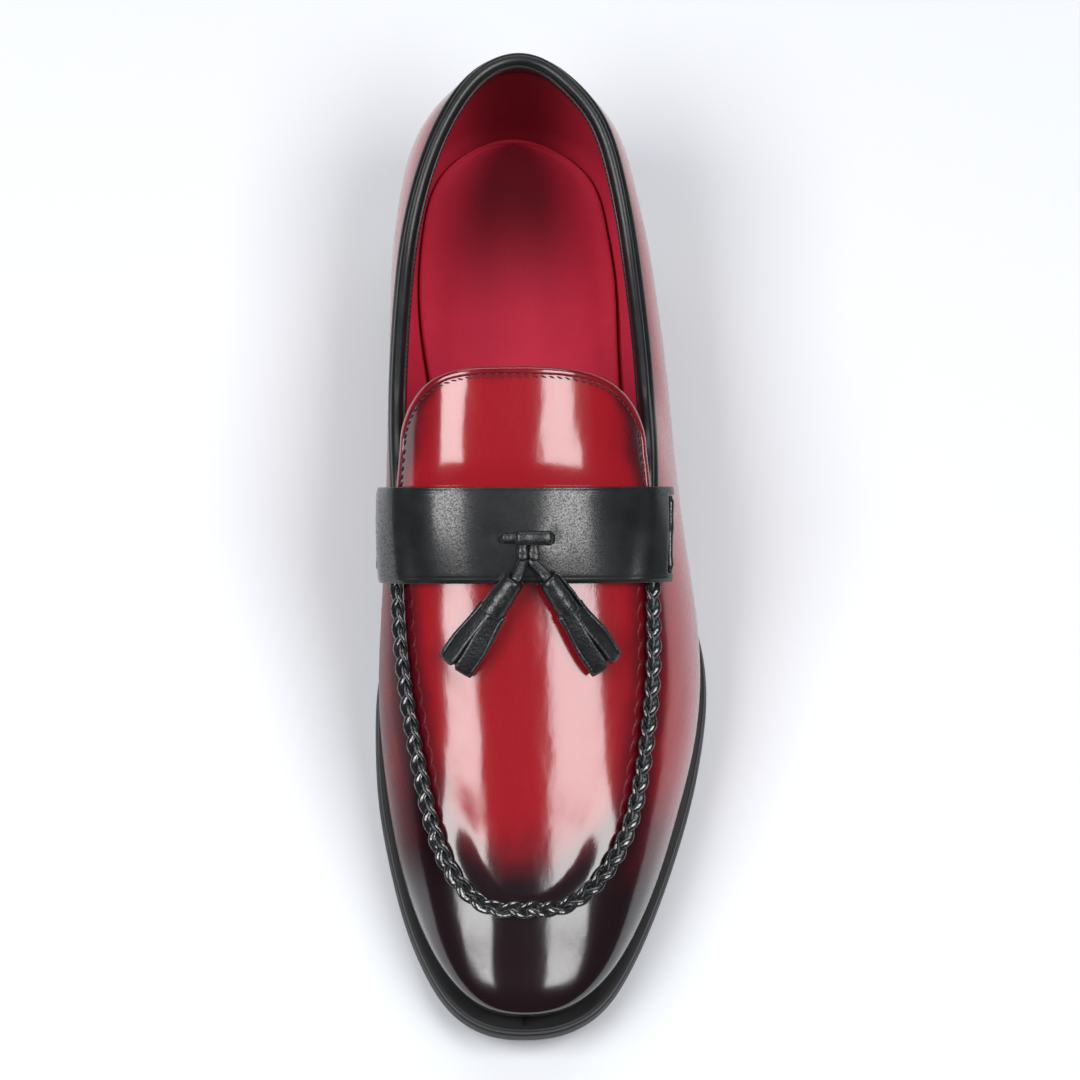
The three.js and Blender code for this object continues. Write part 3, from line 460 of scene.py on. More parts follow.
    def climb_of(self, turn: Array, share: Array) -> Array:
        """Finds the climb of points above the widest line.

        Args:
            turn: Position round the shoe.
            share: Their shares of the reach from the spine.

        Returns:
            The climbs.
        """
        s = self.section(turn)
        share = np.asarray(share, dtype=float)
        lower = np.arccos(np.clip(share, 0, 1) ** (s.full / 2)) / np.arccos(s.rim ** (s.full / 2))
        return np.where(share <= s.rim, 2 - share / s.rim, lower)

    def inner_foot(self, turn: Array) -> Array:
        """Works out the foot of the wall's inner face, on the sole.

        Args:
            turn: Position round the shoe.

        Returns:
            Points in millimetres.
        """
        climb = -np.ones_like(np.asarray(turn, dtype=float))
        face = self.normal(turn, climb)[..., :2]
        level = np.linalg.norm(face, axis=-1)
        step = self.wall / np.maximum(self.least_level, level) / level
        foot = self.skin(turn, climb)[..., :2] - face * step[..., None]
        return np.concatenate([foot, (self.sole_top(foot[..., 1]) + self.gap)[..., None]], -1)

    def sole_point(self, side: Array, place: Array, inset: Array) -> Array:
        """Works out points of the outsole's outline in plan.

        Args:
            side: -1 medial, 1 lateral.
            place: Place round the outline.
            inset: Distance in from the outline.

        Returns:
            Points X and Y.
        """

        def spot(where: Array) -> Array:
            """Gives the outline's points at places round it."""
            where = np.clip(where, 0, 1)
            reach = np.where(side < 0, self.sole.read("medial", where), self.sole.read("lateral", where))
            x = self.spine + side * reach * self.ball_width
            return np.stack([x, self.along_of(self.sole.read("at", where))], -1)

        run = unit(spot(place + self.tiny) - spot(place - self.tiny))
        inward = np.stack([run[..., 1] * side, -run[..., 0] * side], -1)
        return spot(place) + inward * np.asarray(inset)[..., None]


class Value:
    """A number that varies over a surface, held as a node's output socket."""

    def __init__(self, shader: "Shader", socket: bpy.types.NodeSocket) -> None:
        """Wraps an output socket of a shader's material."""
        self.shader = shader
        self.socket = socket

    def math(self, operation: str, *others: "Value | float") -> "Value":
        """Adds a Math node.

        Args:
            operation: The node's operation.
            others: Its further inputs.

        Returns:
            The result.
        """
        inputs = {0: self} | {i + 1: other for i, other in enumerate(others)}
        node = self.shader.node("ShaderNodeMath", {"operation": operation}, inputs)
        return Value(self.shader, node.outputs[0])

    def __add__(self, other: "Value | float") -> "Value":
        """Adds."""
        return self.math("ADD", other)

    __radd__ = __add__

    def __mul__(self, other: "Value | float") -> "Value":
        """Multiplies."""
        return self.math("MULTIPLY", other)

    __rmul__ = __mul__

    def __sub__(self, other: "Value | float") -> "Value":
        """Subtracts."""
        return self.math("SUBTRACT", other)

    def __rsub__(self, other: float) -> "Value":
        """Subtracts from a number."""
        return (self * -1.0) + other

    def swing(self, strength: float) -> "Value":
        """Turns numbers about 0.5 into numbers about 0, scaled."""
        return (self - 0.5) * strength

    def clamp(self) -> "Value":
        """Keeps the number from 0 to 1."""
        return self.math("MINIMUM", 1.0).math("MAXIMUM", 0.0)

    def step(self, low: float, high: float) -> "Value":
        """Goes softly from 0 where the number is low to 1 where it is high.

        Args:
            low: Where the rise starts.
            high: Where it ends.

        Returns:
            The share.
        """
        inputs = {0: self, 1: low, 2: high, 3: 0.0, 4: 1.0}
        node = self.shader.node("ShaderNodeMapRange", {"interpolation_type": "SMOOTHSTEP"}, inputs)
        return Value(self.shader, node.outputs[0])


Link = "Value | bpy.types.NodeSocket | float | tuple"
EVEN = (1.0, 1.0, 1.0)


@dataclass(frozen=True)
class Grain:
    """Soft noise: size of its blotches in millimetres, finer layers, their strength, and scale."""

    size: float
    detail: float = 2.0
    rough: float = 0.5
    scale: tuple[float, float, float] = EVEN


class Shader:
    """One material and the nodes in it."""

    def __init__(self, name: str) -> None:
        """Makes an empty material with its surface shader.

        Args:
            name: Name of the material.
        """
        self.material = bpy.data.materials.new(name)
        self.material.use_nodes = True
        self.tree = self.material.node_tree
        self.surface = self.tree.nodes["Principled BSDF"]
        self.place = self.node("ShaderNodeTexCoord", {}, {}).outputs["Object"]

    def node(self, kind: str, settings: dict, inputs: dict) -> bpy.types.Node:
        """Adds a node.

        Args:
            kind: Blender's name of the node type.
            settings: Properties, set first.
            inputs: Values or links by socket name or number.

        Returns:
            The node.
        """
        node = self.tree.nodes.new(kind)
        for key, value in settings.items():
            setattr(node, key, value)
        for key, value in inputs.items():
            self.feed(node.inputs[key], value)
        return node

    def feed(self, socket: bpy.types.NodeSocket, value: Link) -> None:
        """Sets a socket or links to it.

        Args:
            socket: The input.
            value: A number, a colour or a link.
        """
        if isinstance(value, Value):
            value = value.socket
        if isinstance(value, bpy.types.NodeSocket):
            self.tree.links.new(value, socket)
        elif isinstance(value, tuple) and socket.type == "RGBA":
            socket.default_value = (*value[:3], 1.0)
        else:
            socket.default_value = value

    def set(self, **values: Link) -> None:
        """Feeds the surface shader's sockets, named with underscores for spaces."""
        for name, value in values.items():
            self.feed(self.surface.inputs[name.replace("_", " ")], value)

    def attribute(self, name: str) -> Value:
        """Reads a number painted on the mesh."""
        node = self.node("ShaderNodeAttribute", {"attribute_name": name}, {})
        return Value(self, node.outputs["Fac"])

    def noise(self, grain: Grain) -> Value:
        """Adds soft noise.

        Args:
            grain: Its size and layers.

        Returns:
            Numbers about 0.5.
        """
        place = self.place
        if grain.scale != EVEN:
            place = self.node("ShaderNodeMapping", {}, {"Vector": place, "Scale": grain.scale}).outputs[0]
        inputs = {"Scale": 1 / (grain.size * MM), "Detail": grain.detail, "Roughness": grain.rough}
        return Value(self, self.node("ShaderNodeTexNoise", {}, {"Vector": place} | inputs).outputs[0])

    def cells(self, size: float) -> Value:
        """Adds cells of a size in millimetres, as the distance to the nearest centre."""
        inputs = {"Vector": self.place, "Scale": 1 / (size * MM)}
        return Value(self, self.node("ShaderNodeTexVoronoi", {}, inputs).outputs["Distance"])

    def tint(self, dark: Link, pale: Link, share: "Value | float") -> bpy.types.NodeSocket:
        """Mixes two colours by the share of the second."""
        return self.node("ShaderNodeMix", {"data_type": "RGBA"}, {0: share, 6: dark, 7: pale}).outputs[2]

    def bump(self, *layers: tuple[Value, float]) -> bpy.types.NodeSocket:
        """Bends the normal by several heights, one after another.

        Args:
            layers: Each height from 0 to 1, with the millimetres that 1 stands for.

        Returns:
            The normal.
        """
        base = {}
        for height, depth in layers:
            inputs = {"Strength": 1.0, "Distance": depth * MM, "Height": height}
            normal = self.node("ShaderNodeBump", {}, inputs | base).outputs[0]
            base = {"Normal": normal}
        return normal


@dataclass(frozen=True)
class PolishedLeather:
    """Red leather under a hard polish, burnished dark where the mesh says so, and darkened by painted shade
    on the medial wall.
    """

    bright: Colour = (0.35, 0.006, 0.014)
    deep: Colour = (0.095, 0.003, 0.008)
    black: Colour = (0.011, 0.003, 0.005)
    deepening: Range = (0.04, 0.56)
    blackening: Range = (0.42, 0.94)
    cloud: Grain = Grain(16.0, 3.0, 0.55)
    streak: Grain = Grain(5.0, 3.0, 0.6, (1.0, 0.22, 1.0))
    swell: Grain = Grain(15.0, 1.0, 0.4, (1.0, 0.35, 1.0))
    ripple: Grain = Grain(7.0, 2.0, 0.45, (1.0, 0.30, 1.0))
    brush: Grain = Grain(1.2, 2.0, 0.6, (1.0, 0.12, 1.0))
    grain: Grain = Grain(0.35)
    pore: float = 0.55
    swell_depth: float = 0.45
    ripple_depth: float = 0.10
    brush_depth: float = 0.007
    pore_depth: float = 0.006
    roughness: float = 0.28
    level: float = 0.12
    coat_roughness: float = 0.13
    coat_ior: float = 1.75

    def make(self) -> bpy.types.Material:
        """Builds the material.

        Returns:
            The material.
        """
        sh = Shader("polished_red_leather")
        tones = sh.noise(self.cloud).swing(0.30) + sh.noise(self.streak).swing(0.16)
        # The mesh's number holds burnish, and painted shade on the medial wall.
        depth = (sh.attribute("burnish_and_shade") + tones).clamp()
        warm = sh.tint(self.bright, self.deep, depth.step(*self.deepening))
        colour = sh.tint(warm, self.black, depth.step(*self.blackening))
        grain, brush = sh.noise(self.grain), sh.noise(self.brush)
        rough = brush.swing(0.08) + grain.swing(0.04) + self.roughness
        normal = sh.bump(
            (sh.noise(self.swell), self.swell_depth),
            (sh.noise(self.ripple), self.ripple_depth),
            (brush, self.brush_depth),
            (sh.cells(self.pore) * 0.6 + grain * 0.4, self.pore_depth),
        )
        sh.set(Base_Color=colour, Roughness=rough, Normal=normal, Specular_IOR_Level=self.level)
        sh.set(Coat_Weight=1.0 - sh.attribute("dull"), Coat_Normal=normal)
        sh.set(Coat_Roughness=self.coat_roughness, Coat_IOR=self.coat_ior)
        return sh.material


@dataclass(frozen=True)
class LiningLeather:
    """Crimson lining leather, matt with a fine nap, darkened by painted shade that the mesh carries."""

    pale: Colour = (0.70, 0.034, 0.078)
    deep: Colour = (0.50, 0.020, 0.050)
    # Colour of the painted shade.
    shade: Colour = (0.020, 0.001, 0.002)
    sheen: Colour = (0.9, 0.35, 0.4)
    cloud: Grain = Grain(11.0, 5.0, 0.65)
    speck: Grain = Grain(0.8, 3.0, 0.6)
    crease: Grain = Grain(4.0, 4.0, 0.7, (1.0, 0.5, 1.0))
    pore: float = 0.7
    crease_depth: float = 0.10
    pore_depth: float = 0.05
    roughness: float = 0.72
    level: float = 0.15

    def make(self) -> bpy.types.Material:
        """Builds the material.

        Returns:
            The material.
        """
        sh = Shader("crimson_lining_leather")
        cloud, speck = sh.noise(self.cloud), sh.noise(self.speck)
        fresh = sh.tint(self.deep, self.pale, (cloud.swing(0.9) + speck.swing(0.5) + 0.55).clamp())
        # Painted shade: the mesh's number darkens the lining towards the shade colour inside the heel, under
        # the apron and on the insole.
        colour = sh.tint(fresh, self.shade, (sh.attribute("burnish_and_shade") + cloud.swing(0.12)).clamp())
        pores = sh.cells(self.pore) * 0.5 + speck * 0.5
        normal = sh.bump((sh.noise(self.crease), self.crease_depth), (pores, self.pore_depth))
        rough = speck.swing(0.12) + self.roughness
        sh.set(Base_Color=colour, Roughness=rough, Normal=normal, Specular_IOR_Level=self.level)
        sh.set(Sheen_Weight=0.06, Sheen_Roughness=0.5, Sheen_Tint=self.sheen)
        return sh.material


@dataclass(frozen=True)
class BlackLeather:
    """Black grained leather, its grain's size and its gloss set for each use."""

    name: str
    grain: float
    depth: float
    roughness: float
    coat: float
    coat_roughness: float = 0.14
    coat_ior: float = 1.5
    level: float = 0.5
    tone: Colour = (0.006, 0.0065, 0.0075)
    worn: Colour = (0.018, 0.019, 0.021)
    cloud: Grain = Grain(9.0, 3.0, 0.6)

    def make(self) -> bpy.types.Material:
        """Builds the material.

        Returns:
            The material.
        """
        sh = Shader(self.name)
        wrinkle = sh.noise(Grain(self.grain * 2.2, 4.0, 0.65))
        cloud = sh.noise(self.cloud)
        height = (sh.cells(self.grain) * 0.65 + wrinkle * 0.5).clamp()
        colour = sh.tint(self.tone, self.worn, (cloud.step(0.35, 0.75) * 0.5 + height * 0.25).clamp())
        rough = cloud.swing(0.16) + wrinkle.swing(0.10) + self.roughness
        sh.set(Base_Color=colour, Roughness=rough, Normal=sh.bump((height, self.depth)))
        speck = sh.noise(Grain(self.grain * 1.3, 2.0, 0.7)).step(0.36, 0.62)
        sh.set(Coat_Weight=(speck * 0.75 + 0.25) * self.coat, Specular_IOR_Level=self.level)
        sh.set(Coat_Roughness=self.coat_roughness, Coat_IOR=self.coat_ior)
        return sh.material


@dataclass(frozen=True)
class SoleRubber:
    """Black moulded rubber with a fine satin skin."""

    tone: Colour = (0.008, 0.008, 0.009)
    dusty: Colour = (0.020, 0.020, 0.022)
    cloud: Grain = Grain(12.0, 4.0, 0.6)
    skin: Grain = Grain(0.5, 3.0, 0.6)
    scuff: Grain = Grain(2.5, 4.0, 0.7, (0.4, 0.4, 2.5))
    skin_depth: float = 0.035
    roughness: float = 0.46

    def make(self) -> bpy.types.Material:
        """Builds the material.

        Returns:
            The material.
        """
        sh = Shader("sole_rubber")
        cloud, skin = sh.noise(self.cloud), sh.noise(self.skin)
        dust = cloud.step(0.4, 0.8) * 0.4 + sh.noise(self.scuff).step(0.55, 0.8) * 0.5
        rough = cloud.swing(0.2) + skin * 0.08 + self.roughness
        sh.set(Base_Color=sh.tint(self.tone, self.dusty, dust.clamp()), Roughness=rough)
        sh.set(Normal=sh.bump((skin, self.skin_depth)))
        return sh.material


@dataclass(frozen=True)
class Thread:
    """Twisted sewing thread."""

    name: str
    dark: Colour
    pale: Colour
    twist: Grain = Grain(0.3, 2.0, 0.6)
    twist_depth: float = 0.08
    roughness: float = 0.55

    def make(self) -> bpy.types.Material:
        """Builds the material.

        Returns:
            The material.
        """
        sh = Shader(self.name)
        twist = sh.noise(self.twist)
        sh.set(Base_Color=sh.tint(self.dark, self.pale, twist), Roughness=self.roughness)
        sh.set(Normal=sh.bump((twist, self.twist_depth)))
        return sh.material


@dataclass(frozen=True)
class StudioPaper:
    """Pale backdrop paper."""

    colour: Colour = (0.87, 0.89, 0.93)

    def make(self) -> bpy.types.Material:
        """Builds the material.

        Returns:
            The material.
        """
        sh = Shader("studio_paper")
        sh.set(Base_Color=self.colour, Roughness=0.9, Specular_IOR_Level=0.1)
        return sh.material


class Finish(Enum):
    """Every finish on the shoe."""

    POLISHED = PolishedLeather()
    LINING = LiningLeather()
    BINDING = BlackLeather("binding_leather", 0.45, 0.022, 0.34, 0.15)
    STRAP = BlackLeather("strap_leather", 0.42, 0.045, 0.40, 1.0, 0.20, coat_ior=1.7, level=0.2)
    TASSEL = BlackLeather("tassel_leather", 0.75, 0.16, 0.36, 0.6, 0.2)
    PLAIT = BlackLeather("plait_leather", 0.6, 0.03, 0.34, 1.0, 0.15, coat_ior=2.1, level=0.2)
    RUBBER = SoleRubber()
    RED_THREAD = Thread("red_thread", (0.05, 0.004, 0.008), (0.105, 0.0176, 0.0252))
    BLACK_THREAD = Thread("black_thread", (0.012, 0.012, 0.013), (0.0328, 0.0328, 0.0347))
    PAPER = StudioPaper()


class Wardrobe:
    """Makes each finish once and hands it out."""

    def __init__(self) -> None:
        """Starts empty."""
        self.made: dict[Finish, bpy.types.Material] = {}

    def get(self, finish: Finish) -> bpy.types.Material:
        """Finds or makes a finish's material.

        Args:
            finish: The finish.

        Returns:
            Its material.
        """
        if finish not in self.made:
            self.made[finish] = finish.value.make()
        return self.made[finish]


def sheet_mesh(along: int, across: int, place: Place, paint: dict[str, Place] | None = None) -> Mesh:
    """Makes a grid and lays it on a surface.

    Args:
        along: Cells along the first share.
        across: Cells along the second.
        place: Gives the points, in millimetres, for arrays of both shares.
        paint: Numbers to paint on the points, by name.

    Returns:
        The mesh, with its doubles not yet merged.
    """
    bm = bmesh.new()
    layers = {name: bm.verts.layers.float.new(name) for name in (paint or {})}
    bmesh.ops.create_grid(bm, x_segments=along, y_segments=across, size=1.0)
    u, v = ((np.array([vert.co[:2] for vert in bm.verts]) + 1) / 2).T
    for vert, point in zip(bm.verts, (place(u, v) * MM).tolist()):
        vert.co = point
    for name, layer in layers.items():
        for vert, number in zip(bm.verts, np.asarray(paint[name](u, v)).tolist()):
            vert[layer] = number
    return bm


def face_up(bm: Mesh) -> None:
    """Turns an open sheet so that its faces look up on the whole."""
    if sum(face.normal.z * face.calc_area() for face in bm.faces) < 0:
        bmesh.ops.reverse_faces(bm, faces=bm.faces[:])


def weld(bm: Mesh, closed: bool = True, distance: float = 0.004) -> None:
    """Merges doubles, and for a closed form fills its ends and turns its faces out.

    Args:
        bm: The mesh.
        closed: Whether it is a closed form.
        distance: Distance of doubles in millimetres.
    """
    bmesh.ops.remove_doubles(bm, verts=bm.verts[:], dist=distance * MM)
    if closed:
        edges = [edge for edge in bm.edges if edge.is_boundary]
        bmesh.ops.holes_fill(bm, edges=edges, sides=0)
        bmesh.ops.recalc_face_normals(bm, faces=bm.faces[:])


def cord_mesh(
    centres: Array, outs: Array, width: Array | float, thick: Array | float, sides: int, power: float = 1.0
) -> Mesh:
    """Sweeps a rounded section along a line.

    Args:
        centres: Points along the cord, in millimetres.
        outs: The rough way out of the surface below at each.
        width: Width at each point.
        thick: Thickness at each point.
        sides: Points round the section.
        power: 1 for an ellipse, less for a squarer section.

    Returns:
        The closed mesh.
    """
    run = unit(np.gradient(centres, axis=0))
    beam = unit(np.cross(run, outs))
    out = unit(np.cross(beam, run))
    count = len(centres)
    wide, deep = (np.broadcast_to(np.asarray(size, dtype=float), count) / 2 for size in (width, thick))

    def place(u: Array, v: Array) -> Array:
        """Gives the cord's points."""
        i = row_of(u, count)
        c, s = np.cos(v * 2 * math.pi), np.sin(v * 2 * math.pi)
        x = np.sign(c) * np.abs(c) ** power * wide[i]
        y = np.sign(s) * np.abs(s) ** power * deep[i]
        return centres[i] + beam[i] * x[:, None] + out[i] * y[:, None]

    bm = sheet_mesh(count - 1, sides, place)
    weld(bm)
    return bm


def merge(parts: Sequence[Mesh]) -> Mesh:
    """Puts several meshes into one and frees them.

    Args:
        parts: The meshes.

    Returns:
        The one mesh.
    """
    whole = bmesh.new()
    for part in parts:
        mesh = bpy.data.meshes.new("part")
        part.to_mesh(mesh)
        part.free()
        whole.from_mesh(mesh)
        bpy.data.meshes.remove(mesh)
    return whole


@dataclass
class Workshop:
    """Turns meshes into finished pieces that ride on the shoe."""

    wardrobe: Wardrobe = field(default_factory=Wardrobe)
    bevel_segments: int = 3
    bevel_angle: float = 50.0

    def piece(
        self, name: str, bm: Mesh, finishes: Sequence[Finish], nodes: Sequence[str], slot: str
    ) -> bpy.types.Object:
        """Makes an object from a mesh.

        Args:
            name: Name of the piece.
            bm: Its mesh, which is freed.
            finishes: Its finishes, in the order of the faces' material numbers.
            nodes: Solids that it stands for.
            slot: A material slot's name; not used.

        Returns:
            The object.
        """
        for face in bm.faces:
            face.smooth = True
        mesh = bpy.data.meshes.new(name)
        bm.to_mesh(mesh)
        bm.free()
        for finish in finishes:
            mesh.materials.append(self.wardrobe.get(finish))
        piece = bpy.data.objects.new(name, mesh)
        bpy.context.scene.collection.objects.link(piece)
        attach(piece, "root")
        if nodes:
            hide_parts(*nodes)
        LOG.info("%s: %d faces", name, len(mesh.polygons))
        return piece

    def thicken(
        self, piece: bpy.types.Object, thick: float, edge: float = 0.0, lined: bool = False
    ) -> None:
        """Gives a sheet its thickness below its face, and rounds its edges.

        Args:
            piece: The sheet.
            thick: Thickness in millimetres.
            edge: Radius of the edges, or 0 for sharp ones.
            lined: Whether the underside takes the piece's second finish.
        """
        wall = piece.modifiers.new("thickness", "SOLIDIFY")
        wall.thickness = thick * MM
        wall.offset = -1.0
        wall.use_even_offset = True
        wall.material_offset = int(lined)
        if edge:
            bevel = piece.modifiers.new("edges", "BEVEL")
            bevel.width = edge * MM
            bevel.segments = self.bevel_segments
            bevel.limit_method = "ANGLE"
            bevel.angle_limit = math.radians(self.bevel_angle)
            bevel.harden_normals = False

    def stitches(
        self, name: str, spots: Array, runs: Array, outs: Array, size: Range, finish: Finish, slot: str
    ) -> bpy.types.Object:
        """Lays one short stitch at each spot.

        Args:
            name: Name of the piece.
            spots: Middles of the stitches.
            runs: The way that each lies.
            outs: The way out of the leather.
            size: Length and width of a stitch.
            finish: The thread.
            slot: Passed on to piece, which does not use it.

        Returns:
            The object.
        """
        bm = bmesh.new()
        long, wide = size[0] / 2 * MM, size[1] / 2 * MM
        runs = unit(runs)
        beams = unit(np.cross(outs, runs))
        outs = unit(np.cross(runs, beams))
        for spot, run, beam, out in zip(spots, runs, beams, outs):
            turn = Matrix((beam, out, run)).transposed().to_4x4()
            scale = Matrix.Diagonal((wide, wide, long, 1.0))
            matrix = Matrix.Translation(Vector(spot) * MM) @ turn @ scale
            bmesh.ops.create_uvsphere(bm, u_segments=6, v_segments=4, radius=1.0, matrix=matrix)
        return self.piece(name, bm, [finish], [], slot)


@dataclass
class Upper:
    """Quarters and vamp, with the lining inside and the roof that the apron lies on."""

    last: Last
    shop: Workshop
    around: int = 360
    wall_steps: int = 46
    lining_steps: int = 26
    roof_along: int = 120
    roof_across: int = 36
    roof_edge: float = 0.985
    foot_blend: float = -0.7
    cove: float = 2.2
    cove_heights: Range = (9.0, 2.6)
    base_burn: float = 0.08
    toe_y: Range = (-64.0, -126.0)
    topline_burn: float = 0.42
    topline_fade: Range = (9.0, 1.0)
    seam_burn: float = 0.55
    seam_fade: Range = (12.0, 0.0)
    seam_y: Range = (12.0, -6.0)
    foot_burn: float = 0.45
    foot_fade: Range = (13.0, 0.0)
    heel_burn: float = 0.40
    heel_y: Range = (118.0, 150.0)
    medial_painted_shade: float = 0.34
    # Painted shade on the medial wall ahead of the quarters.
    side_x: Range = (2.0, -10.0)
    side_y: Range = (60.0, 0.0)
    dullness: float = 0.95
    dull_y: Range = (-118.0, -92.0)
    # Painted shade in the lining: deepest inside the heel, less towards its sides, and under the apron.
    heel_shade: float = 0.66
    heel_shade_y: Range = (104.0, 140.0)
    heel_side: float = 0.60
    heel_side_x: Range = (6.0, 24.0)
    vamp_shade: float = 0.3
    vamp_shade_y: Range = (40.0, 10.0)

    def inner_side(self, points: Array) -> Array:
        """1 on the medial wall ahead of the quarters, 0 elsewhere."""
        return smooth(*self.side_x, points[..., 0] - self.last.spine) * smooth(*self.side_y, points[..., 1])

    def burnish_and_shade(self, turn: Array, climb: Array) -> Array:
        """Works out how dark the wall is burnished, with painted shade on the medial wall.

        Args:
            turn: Position round the shoe.
            climb: Position up the wall.

        Returns:
            0 for bright red to 1 for near black.
        """
        points = self.last.skin(turn, climb)
        y = points[..., 1]
        from_rim = np.linalg.norm(points - self.last.skin(turn, np.ones_like(climb)), axis=-1)
        above_sole = points[..., 2] - self.last.sole_top(y)
        topline = self.topline_burn * smooth(*self.topline_fade, from_rim)
        seam = self.seam_burn * smooth(*self.seam_fade, from_rim)
        rim = mix(topline, seam, smooth(*self.seam_y, y))
        foot = self.foot_burn * smooth(*self.foot_fade, above_sole)
        # Painted shade on the medial wall.
        side = self.medial_painted_shade * self.inner_side(points)
        toe = smooth(*self.toe_y, y)
        heel = self.heel_burn * smooth(*self.heel_y, y)
        wall = (np.maximum(rim, foot) + side) * (1 - toe)
        return np.clip(mix(self.base_burn, 1.0, toe) + wall + heel, 0, 1)

    def dull(self, turn: Array, climb: Array) -> Array:
        """How much less the wall is polished, from 0 to 1."""
        points = self.last.skin(turn, climb)
        return self.dullness * self.inner_side(points) * smooth(*self.dull_y, points[..., 1])

    def shade(self, points: Array) -> Array:
        """Works out the painted shade on the lining, deepest inside the heel and under the apron.

        Args:
            points: Points of the lining.

        Returns:
            0 for unshaded red to 1 for the deepest painted shade.
        """
        x, y = points[..., 0] - self.last.spine, points[..., 1]
        sides = self.heel_side * smooth(*self.heel_side_x, np.abs(x))
        heel = self.heel_shade * smooth(*self.heel_shade_y, y) * (1 - sides)
        return heel + self.vamp_shade * smooth(*self.vamp_shade_y, y)

    def coved(self, turn: Array, points: Array) -> Array:
        """Draws the lining's foot in towards the insole.

        Args:
            turn: Position round the shoe.
            points: Points of the inner face.

        Returns:
            The moved points.
        """
        s = self.last.section(turn)
        height = points[..., 2] - self.last.sole_top(points[..., 1])
        moved = points.copy()
        moved[..., :2] += unit(s.hub - s.out) * (self.cove * smooth(*self.cove_heights, height))[..., None]
        return moved

    def build(self) -> None:
        """Builds the wall and the roof."""
        last = self.last
        outer = np.linspace(-1, 1, self.wall_steps)
        inner = np.linspace(1, -1, self.lining_steps)
        climbs = np.concatenate([outer, [1, 1], inner])
        edge = [-last.wall / 4, -last.wall * 3 / 4]
        lifts = np.concatenate([np.zeros_like(outer), edge, np.full_like(inner, -last.wall)])
        rows = len(climbs)
        lining_from = self.wall_steps + 2

        def place(u: Array, v: Array) -> Array:
            """Gives the points of both faces."""
            j = row_of(v, rows)
            turn = u * 2 - 1
            inside = j >= lining_from
            low = inside * smooth(self.foot_blend, -1.0, climbs[j])
            points = mix(last.offset(turn, climbs[j], lifts[j]), last.inner_foot(turn), low[:, None])
            return np.where(inside[:, None], self.coved(turn, points), points)

        def burnish_and_shade(u: Array, v: Array) -> Array:
            """Gives the burnish outside, with painted shade on the medial wall, and the painted shade inside.
            """
            j = row_of(v, rows)
            return np.where(j >= lining_from - 1, self.shade(place(u, v)), self.burnish_and_shade(u * 2 - 1, climbs[j]))

        def dull(u: Array, v: Array) -> Array:
            """Gives the lack of polish."""
            return self.dull(u * 2 - 1, climbs[row_of(v, rows)])

        bm = sheet_mesh(self.around, rows - 1, place, {"burnish_and_shade": burnish_and_shade, "dull": dull})
        bm.verts.index_update()
        across = len(bm.verts) // rows
        for face in bm.faces:
            if min(vert.index // across for vert in face.verts) >= lining_from - 1:
                face.material_index = 1
        weld(bm, closed=False)
        bmesh.ops.bridge_loops(bm, edges=[e for e in bm.edges if e.is_boundary])
        bmesh.ops.recalc_face_normals(bm, faces=bm.faces[:])
        self.shop.piece("upper_wall", bm, [Finish.POLISHED, Finish.LINING], ["upper"], "red_leather")
        self.build_roof()

    def build_roof(self) -> None:
        """Builds the lining's roof under the apron."""
        last = self.last

        def place(u: Array, v: Array) -> Array:
            """Gives the roof's points."""
            across = v * 2 - 1
            turn = mirrored(across, mix(last.throat_place, 1.0, u))
            climb = 2 - np.abs(across) * self.roof_edge
            dip = last.flex(last.skin(turn, climb)[..., 1], across)
            return last.offset(turn, climb, -last.leather - last.gap - dip)

        def shade(u: Array, v: Array) -> Array:
            """Gives the roof's painted shade."""
            return self.shade(place(u, v))

        bm = sheet_mesh(self.roof_along, self.roof_across, place, {"burnish_and_shade": shade})
        weld(bm, closed=False)
        face_up(bm)
        roof = self.shop.piece("vamp_lining", bm, [Finish.LINING], ["upper"], "lining")
        self.shop.thicken(roof, last.wall - last.leather - last.gap)


